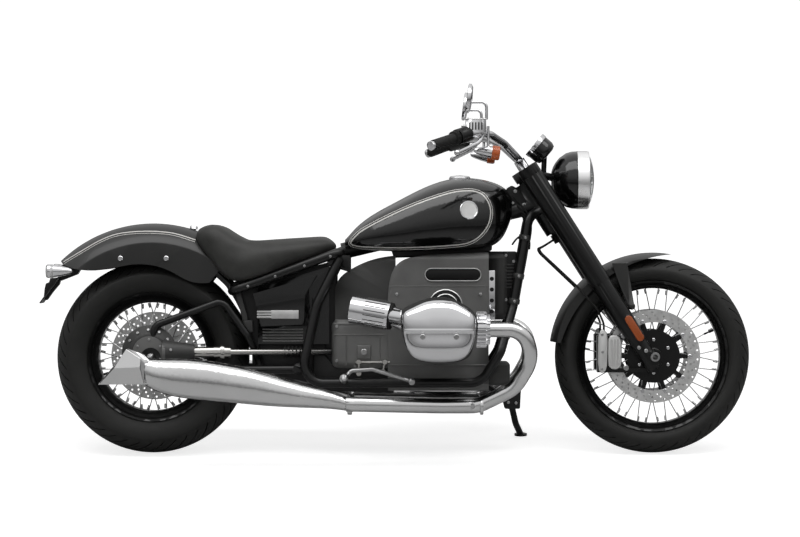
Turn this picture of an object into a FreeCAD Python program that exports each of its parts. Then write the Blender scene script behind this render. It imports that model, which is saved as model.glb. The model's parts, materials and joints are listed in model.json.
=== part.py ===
import FreeCAD, Part
import math
import os
from FreeCAD import Vector

# A low cruiser motorcycle with a flat-twin engine, exposed drive shaft and wire wheels.
# It is drawn upright first: X forward, Y to the rider's left, Z up, with the floor under the
# middle of the wheelbase as zero. Then everything leans together onto the side stand.
# All lengths are millimetres and all angles degrees.
# Places along the machine: a name with _back counts rearwards from the front axle, one with
# _ahead or _behind counts from the rear axle, and one with _x from the middle of the wheelbase.
# Heights: a name with _up counts from the axle of its own end, and one with _z from the floor.
# A name with _half counts sideways from the machine's middle.

# Whole machine
wheelbase = 1694.0
lean_deg = 8.0
rake_deg = 32.6
gap = 0.3
overrun = 20.0
turn = 360.0

# Both wheels
rim_wall = 6.0
rim_flange_height = 14.0
rim_well_share = 0.3
sidewall_bulge = 6.0
spoke_radius = 1.8
spokes_per_side = 20
spoke_lacing_deg = 42.0
spoke_splay = 1.6
spoke_pair_share = 0.18
hub_flange_wall = 7.0
running_clearance = 0.4
seat_gap = 0.2

# Front wheel
front_tyre_height = 89.0
front_tyre_width = 120.0
front_crown_drop = 36.0
front_seat_radius = 241.0
front_rim_depth = 12.0
front_rim_width = 102.0
front_axle_radius = 13.0
front_axle_bore = 9.0
front_hub_wall = 14.6
front_hub_half = 46.0
front_hub_flange = 12.0

# Rear wheel
rear_tyre_height = 123.5
rear_tyre_width = 180.0
rear_crown_drop = 46.0
rear_seat_radius = 203.0
rear_rim_depth = 19.0
rear_rim_width = 142.0
rear_axle_radius = 14.0
rear_hub_wall = 19.6
rear_hub_half = 58.0
rear_hub_flange = 18.0

# Brake discs and calipers
disc_wall = 5.0
disc_hole_radius = 3.4
disc_holes_per_ring = 30
disc_ring_shares = (0.3, 0.55, 0.8)
disc_clearance = 5.2
front_disc_radius = 157.0
front_disc_band = 42.0
front_disc_half = 78.0
carrier_arms = 10
carrier_arm_width = 14.0
carrier_reach = 30.0
bobbin_radius = 9.0
rear_disc_radius = 150.0
rear_disc_band = 46.0
rear_disc_half = 74.0
bell_lap = 2.0
caliper_back = 169.5
caliper_up = 9.0
caliper_length = 45.0
caliper_height = 124.0
caliper_inner_half = 56.0
caliper_outer_half = 112.0
caliper_lug = 14.0
rear_caliper_ahead = 82.0
rear_caliper_length = 97.0
rear_caliper_drop = 59.0
rear_caliper_height = 70.0
rear_caliper_inner_half = 58.0

# Fork, yokes and steering stem
axle_lead = 19.0
yoke_offset = 33.0
fork_half = 120.0
cover_radius = 36.0
cover_low = 308.0
cover_high = 735.0
slider_radius = 33.5
slider_foot_radius = 27.0
slider_low = -34.0
slider_taper_low = 40.0
slider_taper_high = 150.0
fork_foot_ear = 12.0
axle_end = 6.0
top_yoke_wall = 34.0
low_yoke_low = 496.0
low_yoke_wall = 30.0
yoke_rear = 20.0
stem_radius = 15.0
head_tube_radius = 31.0
head_clearance = 6.0

# Lamp and dial
lamp_back = 341.0
lamp_up = 596.0
lamp_radius = 99.0
lamp_bowl = 86.0
lamp_ring = 40.0
lamp_dome = 18.0
lamp_wall = 3.0
lamp_bezel = 12.0
lamp_arm_radius = 13.0
dial_back = 400.0
dial_up = 718.0
dial_tilt_deg = 40.0
dial_radius = 44.0
dial_depth = 60.0
dial_lip = 3.5
dial_rim = 14.0
dial_post_radius = 9.0
dial_post_back = 369.0
lamp_bowl_shares = ((0.0, 0.0), (0.0, 0.30), (0.06, 0.46), (0.15, 0.60), (0.30, 0.76), (0.57, 0.927),
                    (0.80, 0.98), (1.0, 0.99))
lens_shares = ((1.0, 0.0), (0.85, 0.35), (0.6, 0.7), (0.3, 0.93), (0.0, 1.0))
dial_cup_shares = ((1.0, 0.23), (0.99, 0.72), (0.86, 0.93), (0.6, 1.0), (0.0, 1.0))

# Handlebar, with its corners as shares of its pull-back, half width and rise
riser_half = 52.0
riser_radius = 17.0
bar_radius = 12.7
bar_clamp_up = 802.0
bar_clamp_ahead = 28.0
bar_pull_back = 305.0
bar_half_width = 478.0
bar_rise = 84.0
bar_bend = 70.0
bar_shares = ((0.0, 0.0, 0.0), (0.0, 0.13, 0.0), (0.17, 0.26, 0.62), (0.34, 0.48, 0.97),
              (0.56, 0.69, 1.0), (1.0, 1.0, 0.43))
grip_radius = 17.0
grip_start_share = 0.36
grip_end_share = 0.93
bar_weight_radius = 15.5
bar_weight_share = 0.94
bar_tip_share = 0.95

# Switches, reservoirs, levers, mirrors and indicators
switch_radius = 26.0
switch_start_share = 0.04
switch_end_share = 0.34
reservoir_length = 68.0
reservoir_width = 46.0
reservoir_height = 42.0
reservoir_behind = 12.0
reservoir_lift = 3.0
mount_length = 50.0
lever_radius = 6.5
lever_ball = 10.0
lever_ahead = 17.0
lever_drop = 18.0
lever_reach = 115.0
lever_elbow = 43.0
mirror_radius = 49.0
mirror_wall = 17.0
mirror_back = 634.0
mirror_up = 860.0
mirror_half = 335.0
mirror_tilt_deg = 7.0
mirror_stem_radius = 5.0
mirror_stem_reach = 63.0
mirror_stem_drop = 13.0
mirror_shares = ((0.0, 0.0), (1.0, 0.0), (1.0, 0.5), (0.8, 0.85), (0.0, 1.0))
indicator_radius = 23.0
indicator_length = 86.0
indicator_tilt_deg = 7.4
front_indicator_back = 611.0
front_indicator_up = 691.0
front_indicator_half = 265.0
indicator_stem_share = 0.55
bullet_shares = ((0.0, 0.0), (0.3, 0.02), (0.5, 0.14), (0.75, 0.42), (0.93, 0.72), (1.0, 0.86),
                 (1.0, 0.96), (0.8, 0.99), (0.0, 1.0))

# Brake hoses: points as (back, up, half) from the front axle; the last run drops onto the caliper
hose_radius = 3.6
hose_bend = 40.0
hose_inset = 12.0
brake_hose_runs = ((392.0, 360.0, 74.0), (347.0, 318.0, 100.0), (262.0, 238.0, 119.0),
                   (192.0, 160.0, 119.0))

# Front fender
fender_wall = 3.0
front_fender_clearance = 20.0
front_fender_half = 72.0
front_fender_drop = 20.0
front_fender_side = 60.0
front_fender_tip_deg = 79.0
front_fender_tail_deg = 172.0
front_fender_trim_deg = 140.0
front_fender_trim_radius = 418.0
front_fender_trim_shift = 115.0
stay_up = 170.0
stay_rise = 144.0
stay_run = 38.0
stay_width = 26.0
stay_foot_radius = 12.0
stay_wall = 6.0

# Engine: the case holds the crank, and the gearbox and airbox are bolted to its rear
crank_x = 118.0
crank_z = 427.0
case_half = 118.0
case_behind_crank = 168.0
case_ahead_of_crank = 171.0
case_below_crank = 213.0
case_above_crank = 254.0
case_round = 26.0
gearbox_length = 190.0
gearbox_half = 110.0
gearbox_below_crank = 138.0
gearbox_above_crank = 28.0
airbox_length = 178.0
airbox_half = 96.0
airbox_height = 214.0
boss_radius = 15.0
boss_spacing = 225.0
belt_cover_length = 74.0
belt_cover_half = 40.0
belt_cover_low_z = 452.0
belt_cover_top_z = 684.0
cooler_half = 64.0
cooler_low_z = 230.0
cooler_top_z = 310.0

# The rear shoulder and top of the case and of the airbox, as shares of each one's length from its
# rear and of its height
case_shares = ((0.0, 0.66), (0.008, 0.74), (0.03, 0.83), (0.075, 0.895), (0.15, 0.94), (0.28, 0.968),
               (0.5, 0.985), (0.75, 0.995), (1.0, 1.0))
airbox_shares = ((0.0, 0.4), (0.02, 0.6), (0.1, 0.71), (0.24, 0.8), (0.47, 0.9), (0.74, 0.97), (1.0, 1.0))

# Cylinders, heads and covers; the left one sits further forward
cylinder_stagger = 20.0
cylinder_core_radius = 72.0
cylinder_fin_radius = 98.0
cylinder_end = 290.0
fin_wall = 3.5
fin_pitch = 13.0
head_end = 392.0
head_length = 250.0
head_height = 210.0
head_core_share = 0.84
cover_end = 446.0
cover_edge = 405.0
cover_taper = 30.0
cover_inset = 1.5
cover_ridge_share = 0.53
cover_brow = 410.0
# The head's and cover's outline, as shares of the length from the rear and of the height
head_shares = ((0.014, 0.79), (0.0, 0.64), (0.01, 0.47), (0.05, 0.29), (0.13, 0.12), (0.27, 0.015),
               (0.5, 0.0), (0.77, 0.015), (0.89, 0.08), (0.96, 0.27), (0.99, 0.45), (1.0, 0.6),
               (0.985, 0.73), (0.93, 0.82), (0.79, 0.925), (0.67, 0.985), (0.4, 1.0), (0.27, 0.96),
               (0.08, 0.865))

# Intakes
intake_radius = 47.0
intake_neck = 26.0
intake_gap = 36.0
intake_length = 127.0
intake_rear_up = 65.0
intake_front_up = 43.0
intake_rear_half = 238.0
intake_front_half = 262.0

# Exhaust
port_half = 325.0
pipe_radius = 25.0
pipe_bend = 110.0
pipe_nose_ahead = 154.0
pipe_knee_ahead = 187.0
pipe_knee_drop = 95.0
pipe_turn_ahead = 129.0
pipe_turn_drop = 195.0
pipe_low_ahead = 7.0
pipe_low_z = 172.0
pipe_knee_half = 300.0
pipe_turn_half = 272.0
pipe_low_half = 262.0
pipe_straight_back = 123.0
nut_radius = 50.0
nut_length = 38.0
nut_root_share = 0.8
muffler_front_x = -188.0
muffler_behind = 7.0
muffler_low_z = 157.0
muffler_height = 174.0
muffler_half_width = 52.0
muffler_half = 285.0
muffler_inlet_z = 179.0
tail_drop = 86.0
tail_neck_rise = 12.0
tail_top_rise = 33.0
tail_top_run = 55.0
tail_tip_run = 153.0
tail_half = 24.0
# Each station: share of the length from the front, low and high shares of the height, width share
muffler_shares = ((0.0, 0.0, 0.27, 0.46), (0.123, 0.046, 0.431, 0.69), (0.247, 0.063, 0.557, 0.85),
                  (0.407, 0.098, 0.736, 0.96), (0.568, 0.155, 0.879, 1.0), (0.691, 0.195, 0.954, 1.0),
                  (0.815, 0.247, 0.989, 0.96), (0.938, 0.368, 0.994, 0.85), (1.0, 0.494, 1.0, 0.58))

# Frame tubes
tube_radius = 16.0
backbone_radius = 28.0
cradle_half = 150.0
rail_z = 243.0
rail_front_x = 262.0
rail_lift_x = -300.0
rail_rear_x = -334.0
down_top_up = 622.0
down_top_half = 24.0
down_high_back = 420.0
down_high_z = 800.0
down_mid_x = 373.0
down_mid_z = 499.0
down_mid_half = 66.0
down_low_x = 328.0
down_low_z = 345.0
upright_low_z = 300.0
upright_mid_x = -288.0
upright_mid_z = 507.0
upright_top_x = -212.0
upright_top_z = 660.0
upright_top_half = 120.0
backbone_front_up = 640.0
backbone_rear_x = -206.0
backbone_rear_z = 684.0
seat_rail_half = 130.0
seat_rail_rear_ahead = 274.0
seat_rail_rear_z = 552.0
tray_x = -300.0
tray_z = 480.0
strut_radius = 11.0
strut_rise = 24.0
strut_high_ahead = 188.0
strut_high_up = 314.0
frame_bend = 70.0
gusset_length = 77.0
gusset_rise = 11.0
gusset_drop = 46.0
gusset_ahead = 35.0
gusset_wall = 6.0

# Side stand and its lug
stand_pivot_x = 372.0
stand_pivot_half = 168.0
stand_pivot_z = 168.0
stand_foot_x = 412.0
stand_foot_half = 292.0
stand_foot_radius = 22.0
stand_foot_wall = 7.0
stand_leg_radius = 11.0
stand_eye_radius = 16.0
stand_eye_half = 11.0
stand_pin_radius = 7.0
stand_lug_wall = 10.0
stand_face_gap = 5.5
stand_axis_deg = 45.0
stand_bracket_radius = 9.3
stand_arm_back = 30.0
stand_arm_rise = 45.0

# Swingarm, drive shaft and final drive
arm_half = 118.0
arm_radius = 14.0
arm_top_radius = 12.0
arm_pivot_x = -348.0
arm_pivot_z = 288.0
arm_pivot_radius = 21.0
arm_low_up = -41.0
arm_top_rear_ahead = 11.0
arm_top_rear_up = 107.0
arm_top_front_ahead = 241.0
arm_top_front_up = 192.0
arm_strut_mid_ahead = 325.0
arm_strut_mid_up = 75.0
arm_strut_low_ahead = 355.0
arm_strut_low_up = 8.0
arm_strut_low_half = 80.0
arm_eye_radius = 34.0
axle_nut = 5.0
drive_ahead = -6.0
drive_up = 17.0
drive_radius = 92.0
drive_cap_radius = 55.0
drive_inner_radius = 70.0
drive_inner_half = 72.0
drive_outer_half = 130.0
tunnel_up = 19.0
tunnel_radius = 42.0
tunnel_end_radius = 26.0
tunnel_end_ahead = 147.0
shaft_half = 122.0
shaft_front_half = 96.0
shaft_radius = 10.0
shaft_stub_radius = 18.0
shaft_joint_ahead = 240.0
shaft_joint_radius = 20.0
shaft_joint_length = 56.0
shaft_ring_radius = 26.0
shaft_ring_wall = 14.0

# Tank and cap
tank_rear_x = -196.0
tank_front_room = 89.0
tank_low_z = 684.0
tank_height = 248.0
tank_half = 164.0
tank_cross_drop = 64.0
cap_x = 194.0
cap_z = 926.0
cap_radius = 36.0
cap_height = 16.0
cap_shares = ((0.0, 0.0), (1.0, 0.0), (1.0, 0.67), (0.85, 0.9), (0.0, 1.0))
# Each station: share of the length from the rear, low and high shares of the height, width share
tank_shares = ((0.0, 0.065, 0.16, 0.22), (0.063, 0.032, 0.315, 0.56), (0.156, 0.016, 0.484, 0.756),
               (0.307, 0.0, 0.677, 0.902), (0.46, 0.0, 0.855, 0.976), (0.612, 0.008, 0.976, 1.0),
               (0.761, 0.024, 1.0, 0.927), (0.87, 0.065, 0.956, 0.768), (0.949, 0.202, 0.879, 0.524),
               (1.0, 0.468, 0.742, 0.293))
tank_section_shares = ((0.0, 1.0), (0.42, 0.965), (0.76, 0.84), (0.96, 0.6), (1.0, 0.38), (0.94, 0.17),
                       (0.78, 0.04), (0.4, 0.0), (0.0, 0.0))

# Seat
seat_rear_ahead = 153.0
seat_front_gap = 26.0
seat_low_z = 584.0
seat_height = 190.0
seat_half = 160.0
seat_shares = ((0.0, 0.842, 0.932, 0.375), (0.038, 0.558, 0.968, 0.7), (0.123, 0.295, 1.0, 0.862),
               (0.22, 0.032, 0.874, 0.938), (0.335, 0.0, 0.705, 0.987), (0.517, 0.137, 0.684, 1.0),
               (0.746, 0.337, 0.721, 0.888), (0.915, 0.484, 0.737, 0.7), (1.0, 0.579, 0.642, 0.438))
seat_section_shares = ((0.0, 0.97), (0.5, 1.0), (0.85, 0.93), (1.0, 0.66), (1.0, 0.3), (0.94, 0.06),
                       (0.7, 0.0), (0.3, 0.0), (0.0, 0.0))

# Rear fender; its skirt's lower edge is a curve, as shares of the skirt's length and height
rear_fender_clearance = 125.5
rear_fender_half = 112.0
rear_fender_front_deg = 52.0
rear_fender_tail_deg = 134.0
rear_fender_drop = 68.0
skirt_behind = 308.0
skirt_length = 558.0
skirt_low_up = 251.0
skirt_height = 66.0
skirt_shares = ((0.0, 1.0), (0.116, 0.68), (0.215, 0.636), (0.323, 0.758), (0.409, 0.909),
                (0.495, 0.955), (0.581, 0.864), (0.677, 0.561), (0.785, 0.09), (0.839, 0.0),
                (0.925, 0.045), (1.0, 0.273))
rack_hole_ahead = 51.0
rack_hole_behind = 103.0
rack_hole_up = 334.0
rack_hole_radius = 4.2

# Tail: plate holder, its arm and the rear indicators
plate_wall = 4.0
plate_half = 62.0
plate_length = 112.0
plate_behind = 379.0
plate_up = 181.0
plate_slope_deg = 54.0
plate_hole_radius = 3.2
plate_hole_half = 38.0
plate_hole_share = 0.5
tail_arm_behind = 325.0
tail_arm_length = 88.0
tail_arm_up = 257.0
tail_arm_height = 116.0
tail_arm_shares = ((0.136, 0.0), (0.773, 0.19), (1.0, 0.483), (1.0, 1.0), (0.477, 0.914),
                   (0.25, 0.483), (0.0, 0.379), (0.0, 0.138))
rear_indicator_behind = 286.0
rear_indicator_up = 291.0
rear_indicator_half = 116.0
indicator_bar_radius = 6.0

# Side panels and the battery box that they cover
panel_rear_ahead = 344.0
panel_front_x = -290.0
panel_low_z = 432.0
panel_height = 172.0
panel_inner_half = 104.0
panel_outer_half = 130.0
panel_shares = ((0.0, 0.64), (1.0, 1.0), (0.82, 0.616), (0.8, 0.04), (0.127, 0.0), (0.014, 0.558))
box_rear_ahead = 359.0
box_half = 98.0
box_low_z = 372.0
box_rear_z = 560.0
box_front_z = 634.0
box_front_gap = 8.0

# Foot controls; the pedal's points are shares of its length and rise
peg_x = -196.0
peg_z = 262.0
peg_radius = 14.0
peg_arm_radius = 11.0
peg_inner_half = 178.0
peg_outer_half = 268.0
pedal_length = 226.0
pedal_rise = 40.0
pedal_half = 232.0
pedal_radius = 7.0
pedal_pad_radius = 10.5
pedal_shares = ((0.0, 0.0), (0.115, 0.65), (0.425, 0.75), (0.867, 0.0), (1.0, -0.25))

FORWARD = Vector(1, 0, 0)
LEFT = Vector(0, 1, 0)
UP = Vector(0, 0, 1)
RIGHT_AND_LEFT = (-1, 1)

rake = math.radians(rake_deg)
lean = math.radians(lean_deg)
FORK_UP = Vector(-math.sin(rake), 0, math.cos(rake))
FORK_AHEAD = Vector(math.cos(rake), 0, math.sin(rake))


def crown_radius(width, drop):
    """The radius of the arc across a tread of this width whose shoulders lie this much lower."""
    half = width / 2
    return (half * half + drop * drop) / (2 * drop)


front_tyre_radius = front_seat_radius + front_tyre_height
rear_tyre_radius = rear_seat_radius + rear_tyre_height
front_crown = crown_radius(front_tyre_width, front_crown_drop)
rear_crown = crown_radius(rear_tyre_width, rear_crown_drop)
# Each round tread sinks this far as the machine leans, so the rear axle is raised by the difference.
floor_drop = front_crown * (1 - math.cos(lean))
rear_axle_z = rear_tyre_radius + (rear_crown - front_crown) * (1 - math.cos(lean)) / math.cos(lean)
FRONT_AXLE = Vector(wheelbase / 2, 0, front_tyre_radius)
REAR_AXLE = Vector(-wheelbase / 2, 0, rear_axle_z)
FLOOR_NORMAL = Vector(0, -math.sin(lean), math.cos(lean))
FLOOR_POINT = FLOOR_NORMAL * -floor_drop

# Sizes that follow from the ones above
front_hub_radius = front_axle_radius + running_clearance + front_hub_wall
rear_hub_radius = rear_axle_radius + running_clearance + rear_hub_wall
front_fender_radius = front_tyre_radius + front_fender_clearance
rear_fender_radius = rear_tyre_radius + rear_fender_clearance
case_rear_x = crank_x - case_behind_crank
case_front_x = crank_x + case_ahead_of_crank
case_low_z = crank_z - case_below_crank
case_top_z = crank_z + case_above_crank
gearbox_rear_x = case_rear_x - gearbox_length
gearbox_top_z = crank_z + gearbox_above_crank
front_cover_end_x = case_front_x + belt_cover_length
cover_length = head_length - cover_inset * 2
cover_height = head_height - cover_inset * 2


def from_front(back, up, y=0.0):
    """A point by its distance behind the front axle and above it."""
    return Vector(FRONT_AXLE.x - back, y, FRONT_AXLE.z + up)


def from_rear(ahead, up, y=0.0):
    """A point by its distance ahead of the rear axle and above it."""
    return Vector(REAR_AXLE.x + ahead, y, REAR_AXLE.z + up)


def fork_point(up_from_axle, ahead_of_stem=0.0, y=0.0):
    """A point by its distance up the steering axis from the front axle, and ahead of that axis."""
    ahead = ahead_of_stem - axle_lead - yoke_offset
    point = FRONT_AXLE + FORK_UP * up_from_axle + FORK_AHEAD * ahead
    return Vector(point.x, y, point.z)


LAMP = from_front(lamp_back, lamp_up)
tank_front_x = fork_point(backbone_front_up).x - tank_front_room


def cylinder(start, end, radius):
    """A round bar between two points."""
    axis = end - start
    return Part.makeCylinder(radius, axis.Length, start, axis)


def cone(start, end, start_radius, end_radius):
    """A tapered round bar between two points."""
    axis = end - start
    return Part.makeCone(start_radius, end_radius, axis.Length, start, axis)


def ball(centre, radius):
    """A full sphere."""
    return Part.makeSphere(radius, centre)


def block(low, high):
    """A box between its lowest and highest corners."""
    size = high - low
    return Part.makeBox(size.x, size.y, size.z, low)


def block_between(low_x, high_x, near_y, far_y, low_z, high_z):
    """A box whose two sideways limits may come in either order."""
    return block(Vector(low_x, min(near_y, far_y), low_z), Vector(high_x, max(near_y, far_y), high_z))


def fused(shapes):
    """One solid from pieces that touch or overlap."""
    whole = shapes[0].fuse(list(shapes[1:])) if len(shapes) > 1 else shapes[0]
    return whole.removeSplitter()


def largest(shape):
    """The largest solid, after a cut that may leave crumbs."""
    return max(shape.Solids, key=lambda solid: solid.Volume)


def together(shapes):
    """Several solids that share a node without touching."""
    return Part.makeCompound([solid for shape in shapes for solid in shape.Solids])


def mirrored(shape):
    """The same shape on the other side of the machine."""
    return shape.mirror(Vector(0, 0, 0), LEFT)


def both_sides(shape):
    """A piece and its mirror image as two solids of one node."""
    return together([shape, mirrored(shape)])


def staggered(shape):
    """A piece of the right cylinder and its mirror image, set forward, for the left one."""
    left = mirrored(shape)
    left.translate(FORWARD * cylinder_stagger)
    return together([shape, left])


def lead(side):
    """How far this side's cylinder sits ahead of the right one."""
    return cylinder_stagger if side > 0 else 0.0


def bent_path(points, bend_radius):
    """Straight runs through the points, joined by tangent arcs of at most this radius."""
    corners = list(points)
    edges = []
    start = corners[0]
    for before, corner, after in zip(corners, corners[1:], corners[2:]):
        back = (before - corner).normalize()
        on = (after - corner).normalize()
        half_turn = (math.pi - back.getAngle(on)) / 2
        room = min((corner - before).Length, (after - corner).Length) * 0.49
        radius = min(bend_radius, room / math.tan(half_turn))
        cut = radius * math.tan(half_turn)
        enter = corner + back * cut
        leave = corner + on * cut
        middle_line = (back + on).normalize()
        middle = corner + middle_line * (radius / math.cos(half_turn) - radius)
        if (enter - start).Length > gap:
            edges.append(Part.LineSegment(start, enter).toShape())
        edges.append(Part.Arc(enter, middle, leave).toShape())
        start = leave
    edges.append(Part.LineSegment(start, corners[-1]).toShape())
    return Part.Wire(edges)


def tube(points, radius, bend_radius):
    """A bent round bar along the points."""
    path = bent_path(points, bend_radius)
    direction = points[1] - points[0]
    ring = Part.Wire(Part.Circle(points[0], direction, radius).toShape())
    return path.makePipeShell([ring], True, False)


def lathe(centre, outline, axis=LEFT, radial=UP):
    """A turned solid: the outline lists (radius, distance along the axis)."""
    corners = [centre + radial * r + axis * along for r, along in outline]
    face = Part.Face(Part.makePolygon(corners + [corners[0]]))
    return face.revolve(centre, axis, turn)


def prism(corners, run):
    """A flat outline drawn out along the run."""
    return Part.Face(Part.makePolygon(corners + [corners[0]])).extrude(run)


def plate(outline, low_y, high_y):
    """A flat plate seen from the side: the outline lists (x, z)."""
    return prism([Vector(x, low_y, z) for x, z in outline], LEFT * (high_y - low_y))


def placed(shares, rear_x, length, low_z, height):
    """Turns an outline's shares of a length and a height into (x, z) places."""
    return [(rear_x + length * along, low_z + height * up) for along, up in shares]


def closed_spline(points):
    """A smooth closed wire through the points."""
    curve = Part.BSplineCurve()
    curve.interpolate(Points=points, PeriodicFlag=True)
    return Part.Wire(curve.toShape())


def loft(wires):
    """A smooth solid through closed wires."""
    return Part.makeLoft(wires, True, False)


def runs_along(edge, axis):
    """True for a straight edge that runs along the axis."""
    if len(edge.Vertexes) < 2:
        return False
    run = edge.Vertexes[1].Point - edge.Vertexes[0].Point
    return run.Length > gap and abs(run.dot(axis)) > 0.99 * run.Length


def rounded_edges(solid, radius, axis):
    """Rounds the edges that run along the axis."""
    edges = [edge for edge in solid.Edges if runs_along(edge, axis)]
    return solid.makeFillet(radius, edges)


# Wheels


def tyre(centre, radius, width, drop, seat_radius, rim_width):
    """A round-section tyre seated between the rim's flanges."""
    half = width / 2
    bead = rim_width / 2 - rim_wall - seat_gap
    shoulder = radius - drop
    inner = seat_radius + seat_gap
    lip = seat_radius + rim_flange_height + seat_gap

    def at(r, y):
        return centre + UP * r + LEFT * y

    def wall(side):
        top = at(shoulder, side * half)
        low = at(lip, side * bead)
        middle = (top + low) * 0.5 + LEFT * side * sidewall_bulge
        return Part.Arc(low, middle, top).toShape()

    edges = [
        Part.Arc(at(shoulder, -half), at(radius, 0.0), at(shoulder, half)).toShape(),
        wall(1),
        Part.LineSegment(at(lip, bead), at(inner, bead)).toShape(),
        Part.LineSegment(at(inner, bead), at(inner, -bead)).toShape(),
        Part.LineSegment(at(inner, -bead), at(lip, -bead)).toShape(),
        wall(-1),
    ]
    section = Part.Face(Part.Wire(Part.__sortEdges__(edges)))
    return section.revolve(centre, LEFT, turn)


def rim(centre, seat_radius, depth, width):
    """A spoked wheel's rim: a well with a flange each side."""
    half = width / 2
    well = width * rim_well_share
    inner_radius = seat_radius - depth
    flange_radius = seat_radius + rim_flange_height
    return lathe(centre, [
        (inner_radius, -well),
        (flange_radius, -half),
        (flange_radius, rim_wall - half),
        (seat_radius, rim_wall - half),
        (seat_radius, half - rim_wall),
        (flange_radius, half - rim_wall),
        (flange_radius, half),
        (inner_radius, well),
    ])


def spoke(centre, side, count, flange, half, rim_inner, rim_width):
    """One wire spoke from a hub flange to past the rim's inner face."""
    crossing = 1 if count % 2 else -1
    pair = count // 2 * 2 + 0.5 + crossing * spoke_pair_share + (1 if side > 0 else 0)
    rim_angle = math.radians(turn * pair / spokes_per_side)
    hub_angle = rim_angle + math.radians(crossing * spoke_lacing_deg)
    splay = crossing * spoke_splay
    foot_radius = flange - hub_flange_wall / 2
    foot_y = side * (half - hub_flange_wall / 2) + splay
    reach = rim_inner + overrun
    rim_y = side * rim_width * rim_well_share / 2 + splay / 2
    start = Vector(foot_radius * math.cos(hub_angle), foot_y, foot_radius * math.sin(hub_angle))
    end = Vector(reach * math.cos(rim_angle), rim_y, reach * math.sin(rim_angle))
    return cylinder(centre + start, centre + end, spoke_radius)


def hub_and_spokes(centre, bore, wall, half, flange_height, rim_inner, rim_width):
    """A hub with two flanges and crossed wire spokes, ending just inside the rim."""
    hub_radius = bore + wall
    flange = hub_radius + flange_height
    root = bore + wall / 2
    pieces = [lathe(centre, [(bore, -half), (hub_radius, -half), (hub_radius, half), (bore, half)])]
    for side in RIGHT_AND_LEFT:
        inner = side * (half - hub_flange_wall)
        outer = side * half
        pieces.append(lathe(centre, [(root, inner), (flange, inner), (flange, outer), (root, outer)]))
        for count in range(spokes_per_side):
            pieces.append(spoke(centre, side, count, flange, half, rim_inner, rim_width))
    wheel_space = Part.makeCylinder(rim_inner - seat_gap, rim_width, centre - LEFT * (rim_width / 2), LEFT)
    return pieces[0].fuse(pieces[1:]).common(wheel_space)


def disc_band(centre, radius, band, y):
    """One perforated brake disc."""
    inner = radius - band
    low = y - disc_wall / 2
    high = y + disc_wall / 2
    disc = lathe(centre, [(inner, low), (radius, low), (radius, high), (inner, high)])
    holes = []
    for row, share in enumerate(disc_ring_shares):
        for count in range(disc_holes_per_ring):
            angle = math.radians(turn * (count + row / len(disc_ring_shares)) / disc_holes_per_ring)
            r = inner + band * share
            spot = centre + Vector(r * math.cos(angle), y - disc_wall, r * math.sin(angle))
            holes.append(Part.makeCylinder(disc_hole_radius, 2 * disc_wall, spot, LEFT))
    return disc.cut(Part.makeCompound(holes))


def front_discs():
    """The two front brake discs."""
    return both_sides(disc_band(FRONT_AXLE, front_disc_radius, front_disc_band, -front_disc_half))


def front_carriers():
    """The two black spiders that carry the front discs on the hub."""
    inner_y = front_hub_half + seat_gap
    face_y = front_disc_half - disc_wall / 2 - seat_gap
    back_y = face_y - disc_wall
    bolt_circle = front_disc_radius - front_disc_band + bobbin_radius / 2
    web_radius = bolt_circle - carrier_reach
    flange = front_hub_radius + front_hub_flange
    pieces = [lathe(FRONT_AXLE, [
        (front_hub_radius + gap, -inner_y),
        (front_hub_radius + gap, -face_y),
        (web_radius, -face_y),
        (web_radius, -back_y),
        (flange, -back_y),
        (flange, -inner_y),
    ])]
    for count in range(carrier_arms):
        arm = block(FRONT_AXLE + Vector(flange, -face_y, -carrier_arm_width / 2),
                    FRONT_AXLE + Vector(bolt_circle, -back_y, carrier_arm_width / 2))
        bobbin = cylinder(FRONT_AXLE + Vector(bolt_circle, -face_y, 0),
                          FRONT_AXLE + Vector(bolt_circle, -back_y, 0), bobbin_radius)
        for piece in (arm, bobbin):
            piece.rotate(FRONT_AXLE, LEFT, turn * count / carrier_arms)
            pieces.append(piece)
    return both_sides(fused(pieces))


def rear_disc():
    """The rear brake disc with its bell, on the left of the hub."""
    inner_y = rear_hub_half + seat_gap
    low = rear_disc_half - disc_wall / 2
    high = rear_disc_half + disc_wall / 2
    flange = rear_hub_radius + rear_hub_flange
    web = rear_disc_radius - rear_disc_band + bell_lap
    band = disc_band(REAR_AXLE, rear_disc_radius, rear_disc_band, rear_disc_half)
    bell = lathe(REAR_AXLE, [
        (rear_hub_radius, inner_y),
        (flange, inner_y),
        (flange, low),
        (web, low),
        (web, high),
        (rear_hub_radius, high),
    ])
    return fused([band, bell])


# Fork, yokes and front axle


def leg_axis(side, up_from_axle):
    """A point on a fork leg's centreline."""
    return fork_point(up_from_axle, yoke_offset, side * fork_half)


def fork_covers():
    """The two black upper fork sleeves."""
    return both_sides(cylinder(leg_axis(-1, cover_low), leg_axis(-1, cover_high), cover_radius))


def slider_space(side, extra):
    """A lower fork leg's outer form, grown by a clearance."""
    return fused([
        cylinder(leg_axis(side, slider_taper_high), leg_axis(side, cover_low - gap),
                 slider_radius + extra),
        cone(leg_axis(side, slider_taper_low), leg_axis(side, slider_taper_high),
             slider_foot_radius + extra, slider_radius + extra),
        cylinder(leg_axis(side, slider_low), leg_axis(side, slider_taper_low),
                 slider_foot_radius + extra),
    ])


def fork_sliders():
    """The two lower fork sliders with the feet that hold the axle."""
    foot = Vector(FRONT_AXLE.x, -fork_half, FRONT_AXLE.z)
    half = LEFT * slider_foot_radius
    eye = cylinder(foot - half, foot + half, front_axle_radius + fork_foot_ear)
    hole = cylinder(foot - half * 2, foot + half * 2, front_axle_radius + seat_gap)
    return both_sides(fused([slider_space(-1, 0.0), eye]).cut(hole))


front_axle_half = fork_half + slider_foot_radius + axle_end
rear_axle_half = arm_half + arm_radius + axle_nut


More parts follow.
